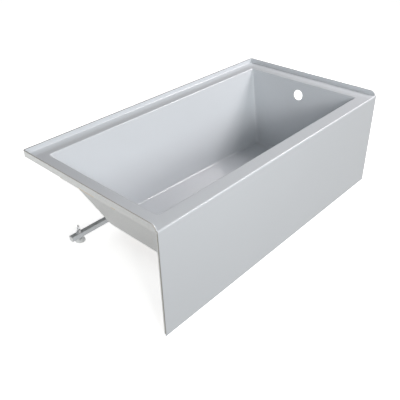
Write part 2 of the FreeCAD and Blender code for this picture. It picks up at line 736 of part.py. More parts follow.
BATTEN_TOP = minus("deck_height", SKIN)
BATTEN_LOW = minus(BATTEN_TOP, "batten_depth")
APRON_BACK = plus(FRONT_FACE, SKIN)
TIMBER_BACK = plus(APRON_BACK, "batten_depth")
BACK_BATTEN_EDGE = minus(HALF_WIDTH, plus(SKIN, "back_batten_gap"))
LOUNGE_BATTEN_EDGE = plus(LEFT_END, "end_batten_gap")
DRAIN_BATTEN_EDGE = minus(HALF_LENGTH, "end_batten_gap")

BATTENS = {
    "front": (("-apron_rail_half_length", APRON_BACK),
              ("apron_rail_half_length", plus(APRON_BACK, "batten_width"))),
    "back": (("-apron_rail_half_length", minus(BACK_BATTEN_EDGE, "batten_width")),
             ("apron_rail_half_length", BACK_BATTEN_EDGE)),
    "lounge": ((LOUNGE_BATTEN_EDGE, "-end_batten_half_length"),
               (plus(LOUNGE_BATTEN_EDGE, "batten_width"), "end_batten_half_length")),
    "drain": ((minus(DRAIN_BATTEN_EDGE, "batten_width"), "-end_batten_half_length"),
              (DRAIN_BATTEN_EDGE, "end_batten_half_length")),
}
for side, (low, high) in BATTENS.items():
    keep("deck_batten_" + side, box(side + "_batten", (*low, BATTEN_LOW), (*high, BATTEN_TOP)))

tie_holes = []
tie_screws = []
ties = {}
PLATE_TOP = plus(RAIL_TOP, "tie_thickness")
for station, x in TIE_PLACES.items():
    low = minus(x, "tie_width / 2")
    high = plus(x, "tie_width / 2")
    foot_leg = box(station + "_tie_foot", (low, TIMBER_BACK, RAIL_TOP),
                   (high, "-side_rail_y + rail_size / 2", PLATE_TOP))
    upright = box(station + "_tie_upright", (low, TIMBER_BACK, RAIL_TOP),
                  (high, plus(TIMBER_BACK, "tie_thickness"), plus(RAIL_TOP, "tie_rise")))
    hole = plus("screw_shank", "screw_clearance")
    flat_turn = FreeCAD.Rotation(FreeCAD.Vector(1, 0, 0), 90)
    middle_z = plus(RAIL_TOP, "tie_rise / 2 + tie_thickness / 2")
    face = plus(TIMBER_BACK, "tie_thickness")
    down = cylinder(station + "_tie_down_hole", (x, "-side_rail_y", RAIL_MIDDLE), hole, "rail_size")
    inward = cylinder(station + "_tie_in_hole", (x, plus(face, "screw_clearance"), middle_z), hole,
                      plus("tie_thickness", "tie_hole_bite"), flat_turn)
    tie_holes.append(inward)
    bent = fuse(station + "_tie_bent", [foot_leg, upright])
    ties[station] = cut(station + "_tie_plate", bent, down, inward)
    down_shank = cylinder(station + "_tie_down_shank", (x, "-side_rail_y", RAIL_MIDDLE), "screw_shank",
                          minus(PLATE_TOP, RAIL_MIDDLE))
    down_head = cylinder(station + "_tie_down_head", (x, "-side_rail_y", PLATE_TOP), "screw_head",
                         "screw_head_height")
    in_shank = cylinder(station + "_tie_in_shank", (x, face, middle_z), "screw_shank",
                        plus("tie_thickness", "tie_screw_bite"), flat_turn)
    in_head = cylinder(station + "_tie_in_head", (x, plus(face, "screw_head_height"), middle_z),
                       "screw_head", "screw_head_height", flat_turn)
    tie_screws.append(fuse(station + "_tie_down_screw", [down_shank, down_head]))
    tie_screws.append(fuse(station + "_tie_in_screw", [in_shank, in_head]))
for station in TIE_PLACES:
    keep("apron_tie_" + station, ties[station])
keep("apron_tie_screws", group("tie_screw_set", tie_screws))

apron_rail_blank = box("apron_rail_blank", ("-apron_rail_half_length", APRON_BACK, "apron_rail_low"),
                       ("apron_rail_half_length", TIMBER_BACK, "apron_rail_high"))
keep("apron_foot_rail", cut("apron_rail_cut", apron_rail_blank, group("tie_screw_holes", tie_holes)))
for station, sign in STATIONS.items():
    middle = "%d * stiffener_spread" % sign
    keep("apron_stiffener_" + station,
         box(station + "_stiffener", (minus(middle, "stiffener_width / 2"), APRON_BACK, "apron_rail_high"),
             (plus(middle, "stiffener_width / 2"), TIMBER_BACK, BATTEN_LOW)))


# ---------------------------------------------------------------- levelling feet

def add_hexagon(sketch, flats):
    """A hexagon round the origin, flats square to Y."""
    across = "(%s) / sqrt(3)" % flats
    corners = [("cos(%d) * %s" % (60 * turn, across), "sin(%d) * %s" % (60 * turn, across))
               for turn in range(6)]
    add_polygon(sketch, "hexagon", corners)


def place_at(body, x, y):
    """Stand a body over a place on the floor."""
    body.setExpression("Placement.Base.x", bound(x))
    body.setExpression("Placement.Base.y", bound(y))
    doc.recompute()


def foot_pad(name):
    """A plastic pad with a flat sole, a coned top and a swivel socket."""
    body = new_body(name)
    profile = new_sketch(body, name + "_profile", "XZ_Plane")
    add_polygon(profile, "pad", [
        ("0", "0"), ("pad_radius", "0"), ("pad_radius", "pad_rim"),
        ("pad_crown", "pad_height"), ("socket_radius", "pad_height"),
        ("socket_radius", "socket_floor"), ("0", "socket_floor")])
    doc.recompute()
    revolve(body, profile)
    return body


def foot_rod(name):
    """A threaded rod, drawn plain, with a hexagon collar, a swivel end and a driver slot."""
    body = new_body(name)
    collar_low = "pad_height"
    profile = new_sketch(body, name + "_profile", "XZ_Plane")
    add_polygon(profile, "rod", [
        ("0", "socket_floor + swivel_room"), ("swivel_radius", "socket_floor + swivel_room"),
        ("swivel_radius", collar_low), ("rod_radius", collar_low),
        ("rod_radius", "rod_top - rod_chamfer"), ("rod_radius - rod_chamfer", "rod_top"), ("0", "rod_top")])
    doc.recompute()
    revolve(body, profile)
    collar = new_sketch(body, name + "_collar", "XY_Plane", collar_low)
    add_hexagon(collar, "collar_flats")
    doc.recompute()
    pad(body, collar, "collar_height")
    slot = new_sketch(body, name + "_slot", "XY_Plane", "rod_top")
    add_rectangle(slot, "slot", ("-rod_radius", "-driver_slot / 2"), ("rod_radius", "driver_slot / 2"))
    doc.recompute()
    pocket(body, slot, "driver_slot")
    return body


def hex_nut(name, low, height):
    """A hexagon nut with its corners turned off and a plain bore."""
    body = new_body(name)
    blank = new_sketch(body, name + "_blank", "XY_Plane", low)
    add_hexagon(blank, "nut_flats")
    add_circle(blank, "bore", ("0", "0"), "nut_bore")
    doc.recompute()
    pad(body, blank, height)
    corner = "nut_flats / sqrt(3)"
    clear = minus("2 * " + corner, "nut_crown")
    top = plus(low, height)
    chamfer = new_sketch(body, name + "_corners", "XZ_Plane")
    add_polygon(chamfer, "corner", [
        ("nut_crown", top), (clear, top), (clear, minus(top, "2 * nut_corner_drop"))])
    doc.recompute()
    revolve(body, chamfer, cut=True)
    return body


LOCK_NUT_LOW = plus(RAIL_TOP, "weld_nut_height")
for side, y in RAIL_PLACES.items():
    for station, x in FOOT_PLACES.items():
        place = "%s_%s" % (side, station)
        for label, piece in (
                ("foot_pad_", foot_pad("pad_" + place)),
                ("foot_rod_", foot_rod("rod_" + place)),
                ("foot_weld_nut_", hex_nut("weld_nut_" + place, RAIL_TOP, "weld_nut_height")),
                ("foot_lock_nut_", hex_nut("lock_nut_" + place, LOCK_NUT_LOW, "lock_nut_height"))):
            place_at(piece, x, y)
            keep(label + place, piece)


# ---------------------------------------------------------------- check and write

doc.recompute()
for item in doc.Objects:
    if "Invalid" in item.State or "Error" in item.State:
        raise RuntimeError("%s did not compute: %s" % (item.Label, item.State))
for item in pieces:
    if item.Shape.isNull() or not item.Shape.isValid() or not item.Shape.Solids:
        raise RuntimeError("%s has no valid solid" % item.Label)

os.makedirs("parts", exist_ok=True)
for item in pieces:
    item.Shape.exportStep("parts/%s.step" % item.Label)
    print("%-28s %9.1f cm3 in %d" % (item.Label, item.Shape.Volume / 1000.0, len(item.Shape.Solids)))
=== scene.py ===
import logging
import math
from dataclasses import dataclass
from enum import Enum
from typing import Callable, Sequence

import bmesh
import bpy
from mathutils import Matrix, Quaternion, Vector


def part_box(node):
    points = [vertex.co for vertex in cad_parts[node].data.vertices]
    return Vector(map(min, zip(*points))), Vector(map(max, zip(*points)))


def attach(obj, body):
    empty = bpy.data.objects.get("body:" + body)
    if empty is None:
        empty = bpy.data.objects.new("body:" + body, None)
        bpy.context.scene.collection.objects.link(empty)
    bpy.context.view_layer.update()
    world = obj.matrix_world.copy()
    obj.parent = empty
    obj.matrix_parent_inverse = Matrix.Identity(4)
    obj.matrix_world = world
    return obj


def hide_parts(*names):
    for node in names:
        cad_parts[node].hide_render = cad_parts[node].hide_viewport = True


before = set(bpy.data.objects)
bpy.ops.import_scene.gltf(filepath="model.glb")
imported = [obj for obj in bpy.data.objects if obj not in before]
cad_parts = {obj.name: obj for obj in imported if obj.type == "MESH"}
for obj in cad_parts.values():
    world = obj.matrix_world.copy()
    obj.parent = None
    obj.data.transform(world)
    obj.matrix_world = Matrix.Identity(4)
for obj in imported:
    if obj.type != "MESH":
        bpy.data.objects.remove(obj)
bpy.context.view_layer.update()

# The looks of an alcove bathtub.  Every length is in metres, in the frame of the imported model:
# X from the lounge end to the drain end, Y from the apron to the back wall, Z up from the floor.

log = logging.getLogger("bathtub")

TUB = "tub"

# The colour sockets of a Mix node, which shares its names among kinds of data.
MIX_FACTOR, MIX_FIRST, MIX_SECOND, MIX_RESULT = 0, 6, 7, 2

Triple = tuple[float, float, float]
Feed = "Value | float | Sequence[float]"

WHITE: Triple = (1.0, 1.0, 1.0)
UNSCALED: Triple = (1.0, 1.0, 1.0)
UNTURNED: Triple = (0.0, 0.0, 0.0)
HALF_TURN = 180.0

# Less than any step in the shapes, and the least share of a normal that looks up or down.
HAIR = 0.0001
FACING = 0.9


# ---------------- shader maths

class Value:
    """A shader value that Python's operators work on; each operator adds a Math node."""

    def __init__(self, graph: "Graph", socket: bpy.types.NodeSocket) -> None:
        """Wrap one output socket of a graph."""
        self.graph = graph
        self.socket = socket

    def __add__(self, other: Feed) -> "Value":
        """The sum."""
        return self.graph.math("ADD", self, other)

    def __radd__(self, other: Feed) -> "Value":
        """The sum, with the number first."""
        return self.graph.math("ADD", other, self)

    def __sub__(self, other: Feed) -> "Value":
        """The difference."""
        return self.graph.math("SUBTRACT", self, other)

    def __rsub__(self, other: Feed) -> "Value":
        """The difference, with the number first."""
        return self.graph.math("SUBTRACT", other, self)

    def __mul__(self, other: Feed) -> "Value":
        """The product."""
        return self.graph.math("MULTIPLY", self, other)

    def __rmul__(self, other: Feed) -> "Value":
        """The product, with the number first."""
        return self.graph.math("MULTIPLY", other, self)


class Graph:
    """The node tree of one material, or of the world."""

    def __init__(self, tree: bpy.types.NodeTree) -> None:
        """Start an empty tree."""
        self.tree = tree
        tree.nodes.clear()

    def node(self, kind: str, settings: dict | None = None, sockets: dict | None = None) -> bpy.types.Node:
        """Add any node: its settings first, then the values or links of its sockets.

        Args:
            kind: The node's type.
            settings: Attributes by name.
            sockets: Inputs by name or number, each a Value, a number or a list of numbers.

        Returns:
            The node.
        """
        node = self.tree.nodes.new(kind)
        for name, setting in (settings or {}).items():
            setattr(node, name, setting)
        for key, feed in (sockets or {}).items():
            if isinstance(feed, Value):
                self.tree.links.new(feed.socket, node.inputs[key])
            else:
                node.inputs[key].default_value = feed
        return node

    def value(self, kind: str, output: str | int = 0, settings: dict | None = None,
              sockets: dict | None = None) -> Value:
        """Add any node and take one of its outputs, by name or number."""
        return Value(self, self.node(kind, settings, sockets).outputs[output])

    def math(self, operation: str, *terms: Feed) -> Value:
        """Add a Math node on some terms."""
        return self.value("ShaderNodeMath", settings={"operation": operation}, sockets=dict(enumerate(terms)))

    def clamp(self, amount: Value) -> Value:
        """Hold an amount between 0 and 1."""
        return self.value("ShaderNodeClamp", sockets={"Value": amount})

    def rise(self, amount: Value, low: float, high: float) -> Value:
        """0 up to a low amount, 1 from a high one, and straight between them."""
        return self.clamp((amount - low) * (1.0 / (high - low)))

    def mix(self, factor: Feed, first: Feed, second: Feed) -> Value:
        """Mix two colours, each of four numbers or a Value; the factor is the second one's share."""
        return self.value("ShaderNodeMix", MIX_RESULT, {"data_type": "RGBA"},
                          {MIX_FACTOR: factor, MIX_FIRST: first, MIX_SECOND: second})

    def places(self, scale: Triple = UNSCALED, turn: Triple = UNTURNED) -> Value:
        """Object coordinates, scaled along each axis and turned about each, in radians."""
        plain = self.value("ShaderNodeTexCoord", "Object")
        return self.value("ShaderNodeMapping", sockets={"Vector": plain, "Scale": scale, "Rotation": turn})

    def stretch(self, places: Value, scale: Triple) -> Value:
        """Coordinates with each axis scaled."""
        return self.value("ShaderNodeVectorMath", settings={"operation": "MULTIPLY"},
                          sockets={0: places, 1: scale})

    def axes(self, vector: Value) -> list[Value]:
        """A vector's X, Y and Z."""
        split = self.node("ShaderNodeSeparateXYZ", sockets={0: vector})
        return [Value(self, output) for output in split.outputs]

    def cells(self, places: Value, size: float) -> tuple[Value, Value]:
        """Cells of one size: the tone of each cell, and how far a place is from its cell's middle."""
        node = self.node("ShaderNodeTexVoronoi", sockets={"Vector": places, "Scale": 1.0 / size})
        tone = self.value("ShaderNodeRGBToBW", sockets={"Color": Value(self, node.outputs["Color"])})
        return tone, Value(self, node.outputs["Distance"])

    def noise(self, places: Value, scale: float, detail: float = 2.0, distortion: float = 0.0) -> Value:
        """Smooth noise between 0 and 1: its repeats in a unit, its finer layers and how much it swirls."""
        return self.value("ShaderNodeTexNoise", "Fac", sockets={
            "Vector": places, "Scale": scale, "Detail": detail, "Distortion": distortion})

    def bump(self, height: Value, distance: float, strength: float = 1.0,
             normal: Value | None = None) -> Value:
        """Relief that doesn't move the surface.

        Args:
            height: The relief's height, 0 to 1.
            distance: How many metres a height of 1 stands for.
            strength: How much of it shows.
            normal: A relief that this one lies on.

        Returns:
            The normal.
        """
        sockets = {"Height": height, "Distance": distance, "Strength": strength}
        if normal is not None:
            sockets["Normal"] = normal
        return self.value("ShaderNodeBump", sockets=sockets)


def heading(azimuth: float, elevation: float = 0.0) -> Vector:
    """The way to an azimuth and an elevation, in degrees."""
    turn, rise = math.radians(azimuth), math.radians(elevation)
    return Vector((math.cos(turn) * math.cos(rise), math.sin(turn) * math.cos(rise), math.sin(rise)))


def rgba(colour: Triple) -> tuple[float, float, float, float]:
    """A colour with full alpha."""
    return (*colour, 1.0)


# ---------------- finishes

@dataclass(frozen=True)
class Finish:
    """A material that is made once and shared by the pieces that have it."""

    title: str
    colour: Triple

    def paint(self, graph: Graph) -> dict:
        """The Principled shader's inputs; each kind of finish gives its own."""
        raise NotImplementedError

    def tone(self, share: float) -> tuple[float, float, float, float]:
        """The finish's colour made darker or lighter by a share."""
        return rgba(tuple(min(channel * share, 1.0) for channel in self.colour))

    def tones(self, graph: Graph, amount: Value, dark: float, light: float) -> Value:
        """The colour from a dark share of it to a light one, by an amount."""
        return graph.mix(amount, self.tone(dark), self.tone(light))

    def material(self) -> bpy.types.Material:
        """Make the material, or find the one made before.

        Returns:
            The material.
        """
        if self.title in bpy.data.materials:
            return bpy.data.materials[self.title]
        material = bpy.data.materials.new(self.title)
        material.use_nodes = True
        graph = Graph(material.node_tree)
        shader = graph.value("ShaderNodeBsdfPrincipled", sockets=self.paint(graph))
        graph.node("ShaderNodeOutputMaterial", sockets={"Surface": shader})
        return material


@dataclass(frozen=True)
class GlossAcrylic(Finish):
    """Formed acrylic sheet: an even, faintly cool white with a soft gloss and a shallow waviness."""

    drift_scale: float = 2.2
    tint_drift: float = 0.015
    gloss: float = 0.17
    gloss_drift: float = 0.05
    refraction: float = 1.49
    coat: float = 0.25
    coat_gloss: float = 0.06
    wave_scale: float = 5.0
    wave: float = 0.00012
    peel_scale: float = 160.0
    peel: float = 0.000006

    def paint(self, graph: Graph) -> dict:
        """The sheet's colour drifts slightly, and its surface keeps the mould's waviness.

        Args:
            graph: The node tree.

        Returns:
            The shader's inputs.
        """
        places = graph.places()
        drift = graph.noise(places, self.drift_scale, detail=3.0)
        waves = graph.bump(graph.noise(places, self.wave_scale, detail=1.0), self.wave)
        return {
            "Base Color": self.tones(graph, drift, 1.0 - self.tint_drift, 1.0 + self.tint_drift),
            "Roughness": self.gloss + self.gloss_drift * drift,
            "IOR": self.refraction,
            "Coat Weight": self.coat,
            "Coat Roughness": self.coat_gloss,
            "Coat IOR": self.refraction,
            "Normal": graph.bump(graph.noise(places, self.peel_scale), self.peel, normal=waves),
        }


@dataclass(frozen=True)
class SprayedLaminate(Finish):
    """Resin sprayed with chopped glass strands and rolled down: pale, lumpy and half glossy.

    Along the flange's crown and at the apron's two ends, the cut edge is painted a dark brown: partly the raw
    edge's own tone, mostly painted shade for the dark line that falls along those edges.
    """

    lays: Sequence[Triple] = (
        (0.0, 0.2, 0.5), (0.4, 0.1, 1.6), (0.3, 1.2, 0.2), (1.1, 0.5, 2.5), (0.2, 2.1, 0.9))
    strand_width: float = 0.0016
    strand_length: float = 0.035
    strand_swirl: float = 0.3
    strand_edge: float = 0.60
    strand_blur: float = 0.06
    strand_height: float = 0.0005
    strand_share: float = 0.5
    strand_tone: float = 1.12
    cloud_scale: float = 7.0
    cloud_tones: tuple[float, float] = (0.93, 1.03)
    lump_scale: float = 38.0
    lump_height: float = 0.004
    lump_share: float = 0.5
    rough: float = 0.34
    strand_rough: float = 0.2
    cloud_rough: float = 0.12
    refraction: float = 1.52
    # Painted shade: this dark brown on the cut edges stands for the shade line along the flange's crown and
    # the apron's ends, over the raw edge's own tone.
    cut_edge_shade: Triple = (0.30, 0.275, 0.24)
    cut_edge_shade_slope: float = 0.5
    deck_height: float = 0.4965
    apron_back: float = -0.3985

    def strands(self, graph: Graph, turn: Triple) -> Value:
        """One lay of strands, all in one direction.

        Args:
            graph: The node tree.
            turn: How the strands are turned from the X axis.

        Returns:
            1 on a strand, 0 between strands.
        """
        drawn = (1.0 / self.strand_length, 1.0 / self.strand_width, 1.0 / self.strand_width)
        streaks = graph.noise(graph.stretch(graph.places(turn=turn), drawn), 0.5, 1.0, self.strand_swirl)
        return graph.rise(streaks, self.strand_edge, self.strand_edge + self.strand_blur)

    def cut_edge_shade_mask(self, graph: Graph) -> Value:
        """Find where the painted edge shade goes: the cut faces that look up or forward, by the flange or at
        the apron's ends.

        Args:
            graph: The node tree.

        Returns:
            1 on the edge, 0 elsewhere.
        """
        _, y, z = graph.axes(graph.places())
        _, back, up = graph.axes(graph.value("ShaderNodeNewGeometry", "Normal"))
        outward = graph.math("GREATER_THAN", up - back, self.cut_edge_shade_slope)
        high = graph.math("GREATER_THAN", z, self.deck_height)
        ahead = graph.math("LESS_THAN", y, self.apron_back)
        return outward * graph.math("MAXIMUM", high, ahead)

    def paint(self, graph: Graph) -> dict:
        """Strands lie at all angles in clear resin, over rolled lumps, and the cut edges carry painted shade.

        Args:
            graph: The node tree.

        Returns:
            The shader's inputs.
        """
        felt = self.strands(graph, self.lays[0])
        for turn in self.lays[1:]:
            felt = graph.math("MAXIMUM", felt, self.strands(graph, turn))
        places = graph.places()
        clouds = graph.noise(places, self.cloud_scale, detail=3.0)
        rolled = graph.bump(graph.noise(places, self.lump_scale), self.lump_height, self.lump_share)
        resin = self.tones(graph, clouds, *self.cloud_tones)
        laid = graph.mix(self.strand_share * felt, resin, self.tone(self.strand_tone))
        # Painted shade: the cut edges along the flange's crown and the apron's ends are mixed to a dark
        # brown.
        cut_edge_shade_mask = self.cut_edge_shade_mask(graph)
        return {
            "Base Color": graph.mix(cut_edge_shade_mask, laid, rgba(self.cut_edge_shade)),
            "Roughness": self.rough + self.strand_rough * felt + self.cloud_rough * clouds,
            "IOR": self.refraction,
            "Normal": graph.bump(felt * (1.0 - cut_edge_shade_mask), self.strand_height, normal=rolled),
        }


@dataclass(frozen=True)
class ChipBoard(Finish):
    """Pressed wood chips under a thin coat of resin."""

    chip: float = 0.007
    chip_flatness: Triple = (1.0, 1.0, 3.0)
    chip_turn: Triple = (0.0, 0.0, 0.4)
    chip_height: float = 0.00035
    chip_tones: tuple[float, float] = (0.78, 1.16)
    fibre_scale: float = 60.0
    fibre_share: float = 0.3
    gap_start: float = 0.25
    gap_gain: float = 1.3
    gap_share: float = 0.35
    gap_tone: float = 0.62
    rough: float = 0.5
    fibre_rough: float = 0.2

    def paint(self, graph: Graph) -> dict:
        """Flat chips of many tones, with dark gaps between some of them.

        Args:
            graph: The node tree.

        Returns:
            The shader's inputs.
        """
        flat = graph.places(self.chip_flatness, self.chip_turn)
        fibres = graph.noise(flat, self.fibre_scale)
        tone, reach = graph.cells(flat, self.chip)
        gap = graph.clamp(reach * self.gap_gain - self.gap_start)
        mottle = graph.clamp(tone * (1.0 - self.fibre_share) + fibres * self.fibre_share)
        chips = self.tones(graph, mottle, *self.chip_tones)
        return {
            "Base Color": graph.mix(self.gap_share * gap, chips, self.tone(self.gap_tone)),
            "Roughness": self.rough + self.fibre_rough * fibres,
            "Normal": graph.bump((tone + fibres) * 0.5, self.chip_height),
        }


class Grain(Enum):
    """The way that a piece of timber's grain runs, as the turn that lays it along X."""

    ALONG = (0.0, 0.0, 0.0)
    ACROSS = (0.0, 0.0, math.pi / 2)
    UPRIGHT = (0.0, math.pi / 2, 0.0)


@dataclass(frozen=True)
class Softwood(Finish):
    """Planed pine, with its rings drawn out along the grain."""

    grain: Grain = Grain.ALONG
    ring: float = 0.0045
    fibre: float = 0.0006
    relief: float = 0.0002
    ring_relief: float = 0.3
    bend_stretch: Triple = (2.0, 9.0, 9.0)
    bend_tones: tuple[float, float] = (0.94, 1.05)
    late_share: float = 0.7
    late_tone: float = 0.66
    fibre_share: float = 0.3
    fibre_tone: float = 0.86
    rough: float = 0.52
    fibre_rough: float = 0.18

    def paint(self, graph: Graph) -> dict:
        """Early and late wood alternate, with fine fibres and a slow change of tone.

        Args:
            graph: The node tree.

        Returns:
            The shader's inputs.
        """
        places = graph.places(turn=self.grain.value)
        bend = graph.noise(graph.stretch(places, self.bend_stretch), 1.0)
        rings = graph.value(
            "ShaderNodeTexWave", "Fac",
            {"wave_type": "BANDS", "bands_direction": "Y", "wave_profile": "SAW"},
            {"Vector": graph.stretch(places, (1.5, 1.0 / self.ring, 0.6 / self.ring)), "Scale": 0.16,
             "Distortion": 3.2, "Detail": 2.0, "Detail Scale": 0.35})
        fibres = graph.noise(graph.stretch(places, (25.0, 1.0 / self.fibre, 1.0 / self.fibre)), 0.5)
        mellow = self.tones(graph, bend, *self.bend_tones)
        ringed = graph.mix(self.late_share * rings, mellow, self.tone(self.late_tone))
        height = fibres * (1.0 - self.ring_relief) + rings * self.ring_relief
        return {
            "Base Color": graph.mix(self.fibre_share * fibres, ringed, self.tone(self.fibre_tone)),
            "Roughness": self.rough + self.fibre_rough * fibres,
            "Normal": graph.bump(height, self.relief),
        }


@dataclass(frozen=True)
class GalvanisedSteel(Finish):
    """Hot-dipped tube, with the zinc's crystals drawn in slightly different greys."""

    spangle: float = 0.011
    spangle_tones: tuple[float, float] = (0.86, 1.1)
    film_scale: float = 14.0
    film_share: float = 0.3
    metal: float = 0.75
    metal_drift: float = 0.2
    rough: float = 0.34
    rough_drift: float = 0.2
    film_rough: float = 0.08
    grain_scale: float = 240.0
    grain_height: float = 0.00006

    def paint(self, graph: Graph) -> dict:
        """Each crystal has its own tone and its own gloss.

        Args:
            graph: The node tree.

        Returns:
            The shader's inputs.
        """
        places = graph.places()
        tone, _ = graph.cells(places, self.spangle)
        film = graph.noise(places, self.film_scale, detail=3.0)
        mottle = graph.clamp(tone * (1.0 - self.film_share) + film * self.film_share)
        return {
            "Base Color": self.tones(graph, mottle, *self.spangle_tones),
            "Metallic": self.metal + self.metal_drift * tone,
            "Roughness": self.rough + self.rough_drift * tone + self.film_rough * film,
            "Normal": graph.bump(graph.noise(places, self.grain_scale), self.grain_height),
        }


@dataclass(frozen=True)
class FineGrained(Finish):
    """A small part's finish, with patches of another tone and gloss over a fine grain.

    The patches and the grain are given as repeats in a metre and finer layers.
    """

    patches: Triple
    patch_layers: float
    dark: float
    light: float
    rough: float
    rough_drift: float
    grain: float
    grain_layers: float
    grain_height: float
    metal: float = 0.0
    metal_drift: float = 0.0

    def paint(self, graph: Graph) -> dict:
        """The patches change the tone, the gloss and how metallic it is, and the grain stands up.

        Args:
            graph: The node tree.

        Returns:
            The shader's inputs.
        """
        places = graph.places()
        patches = graph.noise(graph.stretch(places, self.patches), 1.0, self.patch_layers)
        grain = graph.noise(places, self.grain, self.grain_layers)
        metallic = {"Metallic": self.metal + self.metal_drift * patches} if self.metal else {}
        return {
            "Base Color": self.tones(graph, patches, self.dark, self.light),
            "Roughness": self.rough + self.rough_drift * patches,
            "Normal": graph.bump(grain, self.grain_height),
            **metallic,
        }


ACRYLIC = GlossAcrylic("acrylic_gloss", (0.63, 0.662, 0.695))
LAMINATE = SprayedLaminate("sprayed_laminate", (0.80, 0.81, 0.80))
BOARD = ChipBoard("sealed_chipboard", (0.72, 0.62, 0.48))
PINE = {grain: Softwood("pine_" + grain.name.lower(), (0.80, 0.66, 0.47), grain) for grain in Grain}
GALVANISED = GalvanisedSteel("galvanised_tube", (0.62, 0.64, 0.66))
ZINC = FineGrained("zinc_plate", (0.68, 0.69, 0.70), patches=(90.0, 90.0, 90.0), patch_layers=3.0, dark=0.9,
                   light=1.06, rough=0.24, rough_drift=0.16, grain=900.0, grain_layers=2.0,
                   grain_height=0.00002, metal=0.9, metal_drift=0.1)
NYLON = FineGrained("moulded_nylon", (0.78, 0.79, 0.79), patches=(30.0, 30.0, 90.0), patch_layers=2.0,
                    dark=0.95, light=1.04, rough=0.42, rough_drift=0.14, grain=1400.0, grain_layers=2.0,
                    grain_height=0.00004)
WELD = FineGrained("weld_bead", (0.45, 0.46, 0.47), patches=(700.0, 700.0, 700.0), patch_layers=3.0,
                   dark=0.75, light=1.1, rough=0.45, rough_drift=0.25, grain=700.0, grain_layers=3.0,
                   grain_height=0.00012, metal=0.55, metal_drift=0.2)


# ---------------- modelling by hand

class Pick(Enum):
    """What a selection in edit mode holds."""

    POINTS = "VERT"
    EDGES = "EDGE"
    FACES = "FACE"


